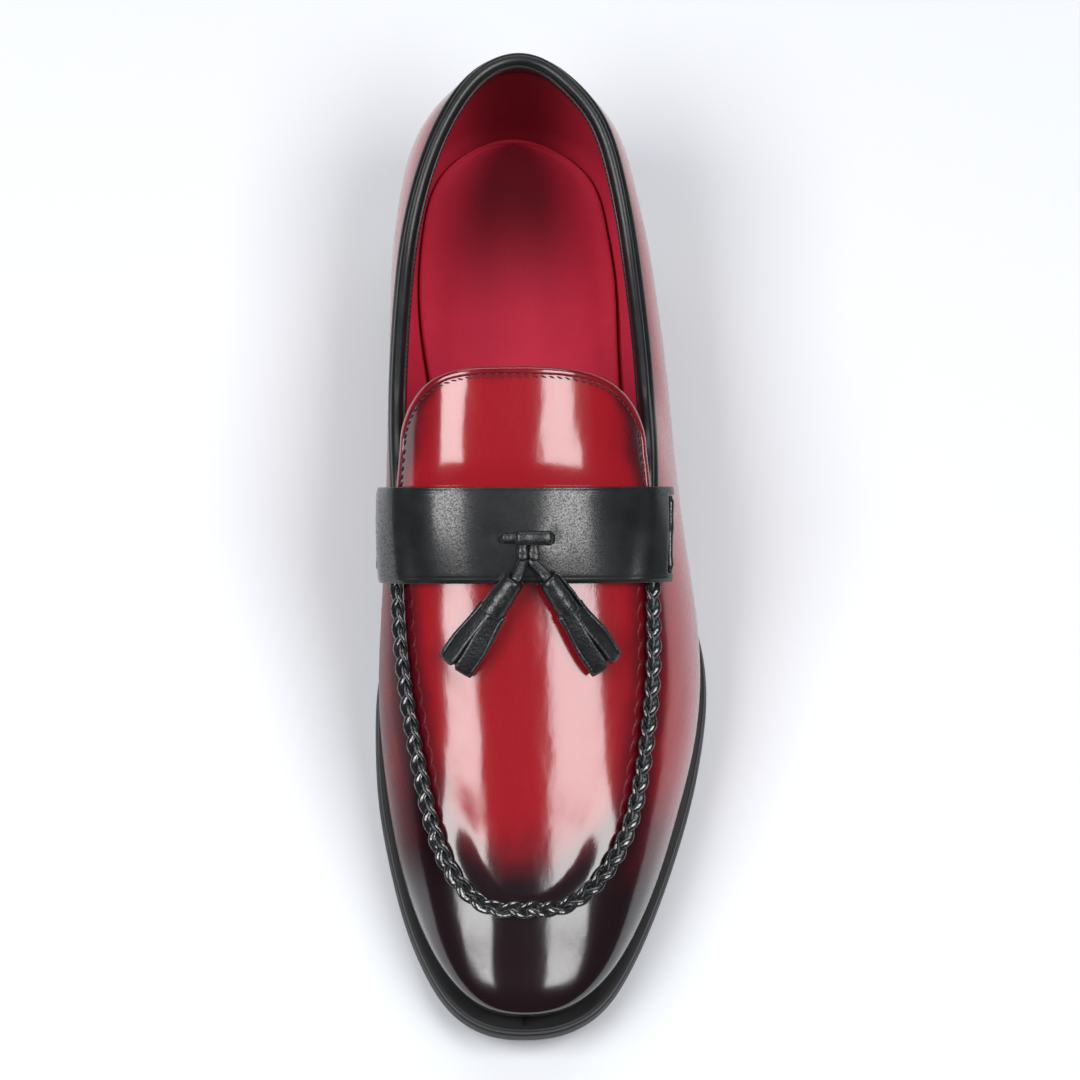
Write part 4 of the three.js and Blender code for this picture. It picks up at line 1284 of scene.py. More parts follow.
@dataclass
class Apron:
    """Apron and tongue in one leather, with the tongue's turned edge and its stitches."""

    last: Last
    shop: Workshop
    lift: float = 3.0
    reach: float = 28.6
    corner: float = 16.5
    narrow: float = 0.955
    roundness: float = 5.0
    rise_start: float = 18.0
    rise_end: float = 4.0
    rim_width: float = 2.5
    rim_thick: float = 1.9
    rim_burn: float = 0.34
    stitch_pitch: float = 2.6
    stitch_size: Range = (1.9, 0.6)
    tongue_rows: int = 90
    straight_rows: int = 15
    apron_rows: int = 170
    across: int = 80
    crowding: float = 1.15
    edge_steps: int = 320
    front_y: Range = (-82.0, -114.0)
    front_burn: float = 0.55
    front_ease: float = 0.4
    seam_burn: Range = (0.50, 0.80)
    seam_reach: Range = (13.0, 17.0)
    tip_burn: float = 0.30
    tip_fade: Range = (7.0, 1.0)
    corner_burn: float = 0.30
    corner_y: Range = (2.0, 14.0)
    corner_across: Range = (0.45, 0.95)

    def rise(self, y: Array) -> Array:
        """How far the tongue rises off the instep line."""
        throat = self.last.along_of(self.last.throat)
        return self.lift * smooth(throat - self.rise_start, throat + self.rise_end, y)

    def outline(self) -> tuple[Array, Array]:
        """Lists the tongue's rows from the tip to the throat.

        Returns:
            Y and half width of each row, as a share of the rim's reach.
        """
        start = self.last.along_of(self.last.throat)
        corner_y = start + self.reach - self.corner
        swing = np.linspace(math.pi / 2, 0, self.tongue_rows)
        width = self.narrow * np.maximum(np.cos(swing), 0) ** (2 / self.roundness)
        straight = np.linspace(0, 1, self.straight_rows + 1)[1:]
        y = np.concatenate([corner_y + self.corner * np.sin(swing), mix(corner_y, start, straight)])
        return y, np.concatenate([width, mix(self.narrow, 1.0, straight)])

    def leather(self, turn: Array, across: Array, over: Array) -> Array:
        """Works out points of the apron and the tongue.

        Args:
            turn: Position round the shoe.
            across: Share of the rim's reach.
            over: Distance over the face.

        Returns:
            Points in millimetres.
        """
        points = self.last.offset(turn, 2 - np.abs(across), over, True)
        points[..., 2] += self.rise(points[..., 1])
        return points

    def build(self) -> None:
        """Builds the leather, its turned edge and the stitches."""
        last = self.last
        y_rows, tongue_widths = self.outline()
        ahead = np.linspace(last.throat_place, 1, self.apron_rows)[1:]
        places = np.concatenate([last.place_at(y_rows), ahead])
        widths = np.concatenate([tongue_widths, np.ones_like(ahead)])
        tongue = np.concatenate([np.ones_like(y_rows), np.zeros_like(ahead)])
        count = len(places)

        def spread(u: Array, v: Array) -> tuple[Array, Array, Array]:
            """Gives each point's row, its share of the rim's reach and its turn."""
            i = row_of(u, count)
            across = v * 2 - 1
            share = np.sign(across) * (1 - (1 - np.abs(across)) ** self.crowding)
            return i, share * widths[i], mirrored(across, places[i])

        def place(u: Array, v: Array) -> Array:
            """Gives the leather's points."""
            _, across, turn = spread(u, v)
            y = last.skin(turn, 2 - np.abs(across), True)[..., 1]
            return self.leather(turn, across, -last.flex(y, across))

        def burnish_and_shade(u: Array, v: Array) -> Array:
            """Gives the burnish, darkest at the toe, the seam and the tongue's edge."""
            i, across, turn = spread(u, v)
            points = last.skin(turn, 2 - np.abs(across), True)
            from_rim = np.linalg.norm(points - last.skin(turn, 2 - widths[i], True), axis=-1)
            y = points[..., 1]
            edge = np.where(y > last.along_of(last.throat), from_rim, last.from_seam(points))
            front = smooth(*self.front_y, y)
            seam = mix(*self.seam_burn, front) * smooth(1.0, 0.1, edge / mix(*self.seam_reach, front))
            tip = self.tip_burn * smooth(*self.tip_fade, np.abs(y_rows[0] - y)) * tongue[i]
            corner = smooth(*self.corner_y, y) * smooth(*self.corner_across, np.abs(across))
            rim = np.maximum(seam, tip) * (1 - self.front_ease * front)
            return np.clip(self.front_burn * front + rim + self.corner_burn * corner, 0, 1)

        bm = sheet_mesh(count - 1, self.across, place, {"burnish_and_shade": burnish_and_shade})
        weld(bm, closed=False)
        face_up(bm)
        finishes = [Finish.POLISHED, Finish.LINING]
        apron = self.shop.piece("apron_and_tongue", bm, finishes, ["apron_tongue"], "red_leather")
        self.shop.thicken(apron, last.leather, lined=True)
        self.build_edge(y_rows, tongue_widths)

    def build_edge(self, y_rows: Array, widths: Array) -> None:
        """Builds the turned edge round the tongue and the stitches inside it.

        Args:
            y_rows: Y of the tongue's rows from the tip.
            widths: Their half widths.
        """
        y_line = np.concatenate([y_rows[::-1], y_rows[1:]])
        w_line = np.concatenate([-widths[::-1], widths[1:]])

        def line(y: Array, across: Array, over: float) -> Array:
            """Gives points along the tongue's edge."""
            turn = mirrored(across, self.last.place_at(y))
            return self.leather(turn, across, np.full_like(y, over))

        run = run_of(line(y_line, w_line, 0.0))
        even = np.linspace(0, run[-1], self.edge_steps)
        y_even, w_even = np.interp(even, run, y_line), np.interp(even, run, w_line)
        edge = line(y_even, w_even, 0.0)
        out = unit(line(y_even, w_even, 1.0) - edge)
        for _ in range(6):
            edge[1:-1] = (edge[:-2] + 2 * edge[1:-1] + edge[2:]) / 4
        along = unit(np.gradient(edge, axis=0))
        inward = unit(np.cross(out, along))
        inward *= -np.sign(inward[len(edge) // 2, 1])
        wave = 0.06 * np.sin(even / 2.6) + 0.04 * np.sin(even / 1.1 + 2)
        centres = edge + inward * (self.rim_width / 2 - 0.35) - out * (self.last.leather / 2 - 0.1)
        rim = cord_mesh(centres, out, self.rim_width + wave, self.rim_thick, 12, 0.8)
        layer = rim.verts.layers.float.new("burnish_and_shade")
        for vert in rim.verts:
            vert[layer] = self.rim_burn
        self.shop.piece("tongue_edge", rim, [Finish.POLISHED], ["apron_tongue"], "red_leather")
        pick = np.linspace(8, self.edge_steps - 9, int(run[-1] / self.stitch_pitch)).astype(int)
        spots = (edge + inward * (self.rim_width + 0.15) + out * 0.05)[pick]
        runs = (along + inward * 0.35)[pick]
        self.shop.stitches(
            "tongue_stitches", spots, runs, out[pick], self.stitch_size, Finish.RED_THREAD, "red_leather"
        )


@dataclass
class CollarBinding:
    """Folded strip over the topline, with a roll outside and a stitched band inside."""

    last: Last
    shop: Workshop
    roll_middle: Range = (-0.85, 0.15)
    roll_size: Range = (2.0, 1.7)
    roll_turn: Range = (-36.0, 158.0)
    end_gap: float = 0.004
    steps: int = 320
    stitch_at: Range = (-3.35, 0.88)
    stitch_pitch: float = 1.7
    stitch_size: Range = (1.25, 0.45)

    def lay(self, turn: Array, out: Array, up: Array) -> Array:
        """Places points of the section.

        Args:
            turn: Position round the collar.
            out: Distance out of the wall.
            up: Distance up from the topline.

        Returns:
            Points in millimetres.
        """
        turn, out, up = floats(turn, out, up)
        one = np.ones_like(turn)
        rise = unit(self.last.skin(turn, one) - self.last.skin(turn, 0.98 * one))
        above = self.last.offset(turn, one, out) + rise * np.maximum(up, 0)[..., None]
        below = self.last.beside(turn, np.maximum(-up, 1e-6), out)
        return np.where((up > 0)[..., None], above, below)

    def build(self) -> None:
        """Builds the strip and its stitches."""
        swing = np.radians(np.linspace(*self.roll_turn, 16))
        sides = np.stack([np.cos(swing), np.sin(swing)], -1)
        roll = np.array(self.roll_middle) + sides * np.array(self.roll_size)
        profile = np.concatenate([BINDING_FLANGE, roll, BINDING_BAND])
        count = len(profile)
        end = self.last.throat_place - self.end_gap

        def place(u: Array, v: Array) -> Array:
            """Gives the strip's points."""
            out, up = profile[row_of(v, count + 1) % count].T
            return self.lay((u * 2 - 1) * end, out, up)

        bm = sheet_mesh(self.steps, count, place)
        weld(bm)
        self.shop.piece("collar_binding_strip", bm, [Finish.BINDING], ["collar_binding"], "black_leather")
        turn = np.linspace(-end, end, 2400)
        line = self.lay(turn, *self.stitch_at)
        out = unit(self.lay(turn, self.stitch_at[0], self.stitch_at[1] + 1) - line)
        run = run_of(line)
        spots = np.searchsorted(run, np.arange(2, run[-1] - 2, self.stitch_pitch))
        way = np.gradient(line, axis=0)[spots]
        thread = Finish.BLACK_THREAD
        self.shop.stitches(
            "binding_stitches", line[spots], way, out[spots], self.stitch_size, thread, "black_leather"
        )


@dataclass
class Braid:
    """Plait of three leather strands over the apron seam."""

    last: Last
    shop: Workshop
    start: float = 0.548
    width: float = 5.4
    strand: float = 2.55
    thick: float = 1.35
    pitch: float = 18.0
    heave: float = 0.7
    base: float = 0.5
    tilt: float = 0.62
    pinch: float = 0.08
    strands: int = 3
    fine_steps: int = 1500
    pitch_steps: int = 36

    def build(self) -> None:
        """Builds the three strands as one piece."""
        last = self.last
        start = float(last.upper.place_of(self.start))
        ahead = np.linspace(start, 1, self.fine_steps)
        unwrapped = np.concatenate([ahead, (2 - ahead[::-1])[1:]])
        run = run_of(last.skin(-unwrapped, np.ones_like(unwrapped)))
        periods = round(run[-1] / self.pitch)
        even = np.linspace(0, run[-1], periods * self.pitch_steps)
        turn = -np.interp(even, run, unwrapped)
        parts = []
        for k in range(self.strands):
            phase = 2 * math.pi * (even / run[-1] * periods + k / self.strands)
            side = (self.width - self.strand) / 2 * np.sin(phase)
            lift = self.base + self.thick / 2 + self.heave * (1 + np.sin(2 * phase))
            centres = last.beside(turn, side, lift)
            calm = centres.copy()
            calm[1:-1] = (centres[:-2] + centres[1:-1] + centres[2:]) / 3
            way = unit(np.gradient(calm, axis=0))
            outs = last.normal(turn, np.ones_like(turn))
            outs = unit(outs - np.cross(way, outs) * (self.tilt * np.sin(phase))[:, None])
            width = self.strand * (1 - self.pinch * np.cos(2 * phase))
            parts.append(cord_mesh(centres, outs, width, self.thick, 12, 0.95))
        self.shop.piece("apron_plait", merge(parts), [Finish.PLAIT], ["apron_braid"], "braid_leather")


@dataclass(frozen=True)
class TasselPlace:
    """Where a tassel lies, out from the spine and ahead of the strap's front edge, in strap widths."""

    side: Side
    head_out: float
    head_ahead: float
    tip_out: float
    tip_ahead: float


TASSELS = (
    TasselPlace(Side.MEDIAL, 0.115, -0.062, 0.717, 0.772),
    TasselPlace(Side.LATERAL, 0.207, -0.076, 0.829, 0.753),
)
HEAD_WIDTH = 7.9
SKIRT_DEPTH = 6.4


@dataclass
class Strap:
    """Padded band over the instep, its end laces, and the thong through its slots."""

    last: Last
    shop: Workshop
    width: float = 29.0
    thick: float = 1.8
    pad: float = 0.5
    rake: float = 22.0
    at: float = 0.498
    medial: float = 0.395
    lateral: float = 0.405
    half_length: float = 44.0
    lug: float = 2.6
    lace: float = 2.4
    lace_steps: int = 60
    drape: float = 12.0
    rise: float = 3.4
    rise_start: float = 90.0
    rise_end: float = 50.0
    braid_width: float = 5.4
    braid_height: float = 2.2
    binding_drop: float = 2.8
    crease_in: float = 1.7
    crease_wide: float = 0.45
    crease_depth: float = 0.09
    edge_drop: float = 0.35
    edge_round: float = 1.6
    pull_depth: float = 0.22
    pull_size: Range = (2.6, 3.2)
    thong_length: float = 16.4
    thong_thick: float = 1.6
    thong_across: float = 0.475
    loop_x: Range = (-3.0, -2.0)
    loop_widths: Range = (3.1, 4.3)
    loop_thicks: Range = (1.7, 2.3)
    loop_lifts: Range = (0.75, 1.20)
    bar_dip: float = 2.1
    tail_middle: float = 0.7
    tail_apart: Range = (1.75, 1.65)
    tail_end: float = 0.46
    tail_width: float = 3.2
    steps: int = 150
    end_rows: int = 5
    edge_rows: int = 10
    middle_rows: int = 30

    def thickness(self, across: Array) -> Array:
        """Thickness of the band across its width."""
        return self.thick + self.pad * np.sin(np.pi * np.clip(across, 0, 1))

    def point(self, along: Array, across: Array, over: Array) -> Array:
        """Works out points of the band.

        Args:
            along: -1 at the medial end to 1 at the lateral one.
            across: 0 at the front edge to 1 at the rear one.
            over: Distance over the band's underside.

        Returns:
            Points in millimetres.
        """
        last = self.last
        along, across, over = floats(along, across, over)
        half = np.where(along < 0, self.medial, self.lateral) * last.ball_width
        rake = math.tan(math.radians(self.rake))
        rear_y = last.along_of(self.at)
        rear = rear_y + rake * last.crown_height(rear_y)
        plane = rear - (1 - across) * self.width / math.cos(math.radians(self.rake))
        y = np.full_like(along, rear_y)
        for _ in range(16):
            turn = mirrored(along, last.place_at(y))
            s = last.section(turn)
            reach = np.abs(s.out[..., 0] - last.spine)
            climb = last.climb_of(turn, np.abs(along) * np.minimum(half / reach, 0.99))
            skin = last.skin(turn, climb, True)
            y = plane - rake * skin[..., 2]
        from_seam = np.linalg.norm(skin - last.skin(turn, np.ones_like(climb), True), axis=-1)
        throat = last.along_of(last.throat)
        edge = mix(self.braid_width / 2, self.binding_drop, smooth(throat - self.drape, throat, y)) + last.gap
        share = smooth(0, 1, (from_seam - edge) / self.drape)
        bump = (self.braid_height + last.gap) * (1 - share)
        face = last.normal(turn, climb, True)
        rise = self.rise * smooth(throat - self.rise_start, throat + self.rise_end, y)
        under = ((rise * np.maximum(face[..., 2], 0)) ** 4 + bump**4) ** 0.25 + 2 * last.gap
        return skin + face * (under + over)[..., None]

    def notch(self, side: float) -> float:
        """Works out the notch at one end.

        Args:
            side: -1 medial, 1 lateral.

        Returns:
            Its share of the band's half length.
        """
        step = 0.02
        tip = self.point(side, 0.5, 0.0) - self.point(side * (1 - step), 0.5, 0.0)
        return step * (self.lace + 4 * self.last.gap) / float(np.linalg.norm(tip))

    def relief(self, along: Array, across: Array) -> Array:
        """Works out the height of the band's upper face over its underside.

        Args:
            along: Position along the band.
            across: Position across it.

        Returns:
            Heights in millimetres.
        """
        from_edge = np.minimum(across, 1 - across) * self.width
        x = along * self.half_length
        crease = self.crease_depth * bell(from_edge, self.crease_in, self.crease_wide)
        ease = self.edge_drop * (1 - smooth(0.0, self.edge_round, from_edge))
        pull = bell(np.abs(x), self.thong_length / 2, self.pull_size[0])
        pull *= bell(across * self.width, self.thong_across * self.width, self.pull_size[1])
        ripple = 0.10 * np.sin(x / 7.5 + 0.6) * np.sin(np.pi * across) + 0.03 * np.sin(x / 4.1 + across * 4)
        return self.thickness(across) - crease - ease - self.pull_depth * pull + ripple

    def build(self) -> None:
        """Builds the band, the laces and the thong."""
        notches = {side: self.notch(side.value) for side in Side}
        start, end = notches[Side.MEDIAL] - 1, 1 - notches[Side.LATERAL]
        alongs = np.concatenate([
            np.linspace(-1, start, self.end_rows)[:-1],
            np.linspace(start, end, self.steps),
            np.linspace(end, 1, self.end_rows)[1:],
        ])
        lug = self.lug / self.width
        edge = np.linspace(0, lug, self.edge_rows)
        middle = np.linspace(lug, 1 - lug, self.middle_rows)
        acrosses = np.concatenate([edge[:-1], middle, 1 - edge[::-1][1:]])
        long, wide = len(alongs), len(acrosses)

        def place(u: Array, v: Array) -> Array:
            """Gives the points of the upper face."""
            along, across = alongs[row_of(u, long)], acrosses[row_of(v, wide)]
            return self.point(along, across, self.relief(along, across))

        bm = sheet_mesh(long - 1, wide - 1, place)
        bm.verts.index_update()
        drop = []
        for face in bm.faces:
            columns = [vert.index % long for vert in face.verts]
            rows = [vert.index // long for vert in face.verts]
            at_end = max(columns) < self.end_rows or min(columns) >= long - self.end_rows
            if at_end and min(rows) >= self.edge_rows - 1 and max(rows) <= wide - self.edge_rows:
                drop.append(face)
        bmesh.ops.delete(bm, geom=drop, context="FACES")
        face_up(bm)
        band = self.shop.piece("strap_band", bm, [Finish.STRAP], ["strap"], "strap_leather")
        self.shop.thicken(band, self.thick - 0.2, 0.35)
        for side in Side:
            self.build_lace(side, notches[side])
        self.build_thong()

    def build_lace(self, side: Side, notch: float) -> None:
        """Builds the lace in one notch.

        Args:
            side: The end.
            notch: Share of the half length that the notch takes.
        """
        lug = (self.lug + self.last.gap) / self.width
        share = np.linspace(0, 1, self.lace_steps)
        across = mix(lug, 1 - lug, share)
        wobble = notch * (0.05 * np.sin(share * 9 + 1) + 0.03 * np.sin(share * 23))
        along = side.value * (1 - notch / 2 + wobble)
        outs = self.point(along, across, 1.0) - self.point(along, across, 0.0)
        taper = 1 - 0.45 * (1 - smooth(0, 0.10, share)) - 0.45 * smooth(0.90, 1.0, share)
        thick = self.lace * taper * (1 + 0.08 * np.sin(share * 14 + 0.5))
        bm = cord_mesh(self.point(along, across, self.lace / 2), outs, thick, thick, 12)
        name = f"strap_lace_{side.name.lower()}"
        self.shop.piece(f"{name}_roll", bm, [Finish.STRAP], [name], "strap_leather")

    def over_strap(self, x: Array, across: Array, lift: Array) -> Array:
        """Works out points over the band.

        Args:
            x: Distance out from the spine.
            across: Position across the band.
            lift: Distance over it.

        Returns:
            Points in millimetres.
        """
        x, across, lift = floats(x, across, lift)
        ends = [abs(self.point(side.value, self.thong_across, 0.0)[0] - self.last.spine) for side in Side]
        along = np.where(x < 0, x / ends[0], x / ends[1])
        return self.point(along, across, self.thickness(across) + self.last.gap + lift)

    def build_thong(self) -> None:
        """Builds the bar between the slots and the two ends that run to the tassels."""
        half = self.thong_length / 2
        share = np.linspace(0, 1, 81)
        x = mix(-half, half, share)
        dip = 1 - smooth(0, 0.10, share) + smooth(0.90, 1, share)
        loop = smooth(*self.loop_x, x)
        lift = mix(*self.loop_lifts, loop) - self.bar_dip * dip + 0.10 * np.sin(share * 17)
        centres = self.over_strap(x, self.thong_across, lift)
        outs = self.over_strap(x, self.thong_across, lift + 1) - centres
        gather = (1 - loop) * 0.18 * np.sin(x * 3.6) + 0.12 * np.sin(share * 21 + 1)
        width = (mix(*self.loop_widths, loop) + gather) * (1 - 0.22 * dip)
        parts = [cord_mesh(centres, outs, width, mix(*self.loop_thicks, loop), 16, 0.85)]
        for tassel in TASSELS:
            start, run, _, out = self.hang(tassel)
            across = self.thong_across * np.linspace(1, self.tail_end, 8)
            tail = self.tail_middle + tassel.side.value * np.linspace(*self.tail_apart, 8)
            path = self.over_strap(tail, across, self.thong_thick / 2 - 0.1)
            knots = np.vstack([path, start - run * 1.6, start + run * 1.5])
            ways = np.vstack([self.over_strap(tail, across, 2.0) - path, out, out])
            fine = np.linspace(0, len(knots) - 1, 50)
            axis = np.arange(len(knots), dtype=float)
            centre = np.stack([Spline(axis, column, False)(fine) for column in knots.T], -1)
            away = np.stack([np.interp(fine, axis, column) for column in ways.T], -1)
            width = self.tail_width + 0.25 * np.sin(fine * 1.7)
            parts.append(cord_mesh(centre, away, width, self.thong_thick, 12, 0.8))
        self.shop.piece("thong", merge(parts), [Finish.TASSEL], ["tassel_thong"], "strap_leather")

    def hang(self, place: TasselPlace) -> tuple[Array, Array, Array, Array]:
        """Works out where a tassel starts and how it lies.

        Args:
            place: Its row of the table.

        Returns:
            The head's top, and unit vectors along the tassel, across it and out of the leather.
        """
        last = self.last
        front = float(self.point(0.0, 0.0, 0.0)[1])

        def over(out: float, ahead: float, lift: float) -> tuple[Array, Array]:
            """Gives a point over the apron and the way out there."""
            turn = place.side.value * last.place_at(front - ahead * self.width)
            reach = abs(last.section(turn).out[0] - last.spine)
            climb = last.climb_of(turn, out * self.width / reach)
            return last.offset(turn, climb, lift, True), last.normal(turn, climb, True)

        lift = float(self.thickness(0.2)) + 5 * last.gap + HEAD_WIDTH / 2
        head, _ = over(place.head_out, place.head_ahead, lift)
        tip, out = over(place.tip_out, place.tip_ahead, SKIRT_DEPTH / 2 + last.gap)
        run = unit(tip - head)
        beam = unit(np.cross(out, run))
        return head, run, beam, np.cross(run, beam)


@dataclass
class Tassel:
    """A rolled head and a skirt of cut strips."""

    strap: Strap
    shop: Workshop
    place: TasselPlace
    head_length: float = 12.5
    skirt_length: float = 19.0
    skirt_width: float = 10.5
    skirt_tuck: float = 1.4
    strips: int = 5
    strip_thick: float = 1.7
    strip_width: float = 6.0
    turns: float = 1.75
    sheet: float = 1.15
    leads: Range = (0.6, 2.2)
    seeds: Range = (0.7, 1.9)

    def __post_init__(self) -> None:
        """Finds how the tassel hangs."""
        self.start, run, beam, out = self.strap.hang(self.place)
        self.axes = np.stack([beam, out, run])
        self.order = int(self.place.side is Side.LATERAL)

    def world(self, x: Array, y: Array, z: Array) -> Array:
        """Turns places across, out of and along the tassel into the shoe's points."""
        return np.stack(floats(x, y, z), -1) @ self.axes + self.start

    def build(self) -> None:
        """Builds the head and the skirt as one piece."""
        name = f"tassel_{self.place.side.name.lower()}"
        bm = merge([*self.head(), *self.skirt()])
        self.shop.piece(f"{name}_leather", bm, [Finish.TASSEL], [name], "strap_leather")

    def core(self, z: Array, width: float, thick: float, sides: int) -> Mesh:
        """Fills the middle.

        Args:
            z: Places along the tassel.
            width: Width of the filling.
            thick: Its thickness.
            sides: Points round its section.

        Returns:
            Its mesh.
        """
        return cord_mesh(self.world(0, 0, z), np.tile(self.axes[1], (len(z), 1)), width, thick, sides)

    def head(self) -> list[Mesh]:
        """Rolls the head.

        Returns:
            Its meshes.
        """
        count, rows = 90, 26
        lead = self.leads[self.order]

        def place(u: Array, v: Array) -> Array:
            """Gives the points of the rolled sheet."""
            swing = u * self.turns * 2 * math.pi
            radius = HEAD_WIDTH / 2 - self.sheet * (1 - u) * self.turns * 0.92
            squash = 1 + 0.015 * np.sin(v * 19 + swing * 2)
            belly = 0.80 + 0.17 * smooth(0.0, 0.75, v)
            r = np.maximum(radius * belly * squash * np.minimum(1, 0.74 + 5 * v), 0.2)
            z = v * self.head_length + 0.25 * np.sin(swing) * (1 - v)
            return self.world(r * np.cos(swing + lead), r * np.sin(swing + lead) * 0.96, z)

        roll = sheet_mesh(count, rows, place)
        bmesh.ops.recalc_face_normals(roll, faces=roll.faces[:])
        bmesh.ops.solidify(roll, geom=roll.faces[:], thickness=-0.8 * MM)
        bmesh.ops.recalc_face_normals(roll, faces=roll.faces[:])
        z = np.linspace(0.8, self.head_length + 2.0, 12)
        return [roll, self.core(z, HEAD_WIDTH * 0.78, HEAD_WIDTH * 0.74, 16)]

    def skirt(self) -> list[Mesh]:
        """Hangs the strips.

        Returns:
            Their meshes.
        """
        parts = []
        start = self.head_length - self.skirt_tuck
        ring_x = (self.skirt_width - self.strip_thick) / 2
        ring_y = (SKIRT_DEPTH - self.strip_thick) / 2
        seed = self.seeds[self.order]
        z = np.linspace(0, 1, 26)
        spread = 0.70 + 0.30 * smooth(0, 0.7, z)
        tip = np.sqrt(np.maximum(1 - 0.5 * smooth(0.90, 1.0, z) ** 2, 0))
        for i in range(self.strips):
            swing = (i + 0.5) / self.strips * 2 * math.pi + math.pi / 2
            reach = self.skirt_length + self.skirt_tuck + 0.8 * math.cos(5 * swing + seed)
            a = swing + 0.14 * math.sin(3 * swing + seed) * z
            line = self.world(np.cos(a) * ring_x * spread, np.sin(a) * ring_y * spread, start + z * reach)
            outs = self.world(np.cos(a) / ring_x, np.sin(a) / ring_y, 0.0) - self.start
            ripple = 1 + 0.04 * np.sin(z * 9 + i)
            width = self.strip_width * mix(0.86, 1.0, smooth(0, 0.6, z)) * tip * ripple
            thick = self.strip_thick * (1 + 0.10 * np.sin(z * 7 + i * 2))
            parts.append(cord_mesh(line, outs, width, thick, 16, 0.45))
        middle = start + np.linspace(0, self.skirt_length - 2.0, 10)
        parts.append(self.core(middle, self.skirt_width * 0.6, SKIRT_DEPTH * 0.5, 14))
        return parts


@dataclass
class Bottom:
    """Outsole, heel and insole."""

    last: Last
    shop: Workshop
    flare: float = 1.0
    bevel: float = 0.9
    taper: float = 2.2
    breast_y: float = 82.0
    hollow: float = 5.0
    insole: float = 2.6
    sock_inset: float = 2.1
    cup: float = 1.2
    cup_across: Range = (0.76, 1.0)
    middle_across: Range = (0.95, 0.25)
    # Painted shade on the insole, deepest in the middle of the heel; the middle of the waist is darker too.
    heel_shade: float = 0.48
    heel_shade_y: Range = (78.0, 128.0)
    waist_darkening: float = 0.34
    waist_start_y: Range = (25.0, 80.0)
    waist_end_y: Range = (165.0, 120.0)
    around: int = 400

    def build(self) -> None:
        """Builds the three pieces."""
        self.build_outsole()
        self.build_heel()
        self.build_insole()

    def build_outsole(self) -> None:
        """Builds the outsole with a rounded edge and a shallow line under its top."""
        last, bevel, thick = self.last, self.bevel, self.last.sole_thick
        inner = self.flare + bevel
        corner = np.radians(np.linspace(0, 90, 6))
        low = [(bevel * (1 - math.sin(a)), bevel * (1 - math.cos(a))) for a in corner]
        top = [(self.flare + bevel * (1 - math.cos(a)), thick - bevel * (1 - math.sin(a))) for a in corner]
        spine = (1.0, 0.75, 0.5, 0.25, 0.06)
        rows = [(bevel, 0.0, share) for share in spine]
        rows += [(inset, height, 0.0) for inset, height in (*low, *SOLE_LINE, *top)]
        rows += [(inner, thick, share) for share in reversed(spine)]
        table = np.array(rows)

        def place(u: Array, v: Array) -> Array:
            """Gives the points round the outline, from under the spine to over it."""
            inset, height, share = table[row_of(v, len(table))].T
            lateral = u < 0.5
            where = np.where(lateral, 2 * u, 2 * (1 - u))
            flat = last.sole_point(np.where(lateral, 1.0, -1.0), where, inset)
            x, y = mix(flat[..., 0], last.spine, share), flat[..., 1]
            return np.stack([x, y, last.tread(y) + height], -1)

        bm = sheet_mesh(self.around, len(table) - 1, place)
        weld(bm, distance=0.01)
        self.shop.piece("outsole_rubber", bm, [Finish.RUBBER], ["outsole"], "sole_rubber")

    def build_heel(self) -> None:
        """Builds the heel block with its hollowed breast."""
        last = self.last
        breast = float(last.sole.place_of(last.at_of(self.breast_y)))
        share = np.linspace(0, 1, 90)
        side = np.ones_like(share)

        def ring(inset: float, height: float) -> Array:
            """Gives one level outline of the block."""
            out = last.sole_point(side, share * breast, side * inset)
            back = last.sole_point(-side, share[::-1] * breast, side * inset)
            front = mix(out[-1], back[0], share[:, None])
            front[:, 1] += self.hollow * np.sin(np.pi * share)
            flat = np.concatenate([out[:-1], front, back[1:]])
            return np.concatenate([flat, np.full((len(flat), 1), height)], -1)

        low = ((self.taper + 0.5, 0.0), (self.taper + 0.15, 0.12), (self.taper, 0.45))
        top = last.heel_lift - last.gap
        high = ((self.bevel + 0.05, top - 0.5), (self.bevel + 0.3, top))
        rings = np.array([ring(inset, height) for inset, height in (*low, *HEEL_LINE, *high)])
        levels, count = rings.shape[:2]

        def place(u: Array, v: Array) -> Array:
            """Gives the block's points."""
            return rings[row_of(v, levels), row_of(u, count)]

        bm = sheet_mesh(count - 1, levels - 1, place)
        weld(bm)
        self.shop.piece("heel_block", bm, [Finish.RUBBER], ["heel"], "sole_rubber")

    def build_insole(self) -> None:
        """Builds the sock over the insole board, cupped a little at its edge."""
        last = self.last

        def place(u: Array, v: Array) -> Array:
            """Gives the sock's points."""
            across = v * 2 - 1
            turn = mirrored(across, u)
            foot = last.inner_foot(turn)
            face = last.normal(turn, -np.ones_like(turn))[..., :2]
            foot[..., :2] -= unit(face) * (self.sock_inset + last.gap * 0.4)
            x, y = mix(last.spine, foot[..., 0], np.abs(across)), foot[..., 1]
            cup = self.cup * smooth(*self.cup_across, np.abs(across)) ** 2
            return np.stack([x, y, last.sole_top(y) + last.gap + self.insole + cup], -1)

        def shade(u: Array, v: Array) -> Array:
            """Gives the painted shade, deepest in the middle of the heel, and the darker middle of the waist.
            """
            middle = smooth(*self.middle_across, np.abs(v * 2 - 1))
            y = place(u, v)[..., 1]
            rear = self.heel_shade * smooth(*self.heel_shade_y, y) * mix(0.35, 1.0, middle)
            waist = smooth(*self.waist_start_y, y) * smooth(*self.waist_end_y, y)
            return rear + self.waist_darkening * middle * waist

        bm = sheet_mesh(240, 60, place, {"burnish_and_shade": shade})
        weld(bm, closed=False, distance=0.01)
        face_up(bm)
        sock = self.shop.piece("insole_sock", bm, [Finish.LINING], ["insole"], "lining")
        self.shop.thicken(sock, self.insole)


@dataclass(frozen=True)
class Softbox:
    """A level soft light overhead, in metres, with its radiance."""

    name: str
    x: float
    y: float
    z: float
    wide: float
    long: float
    radiance: float


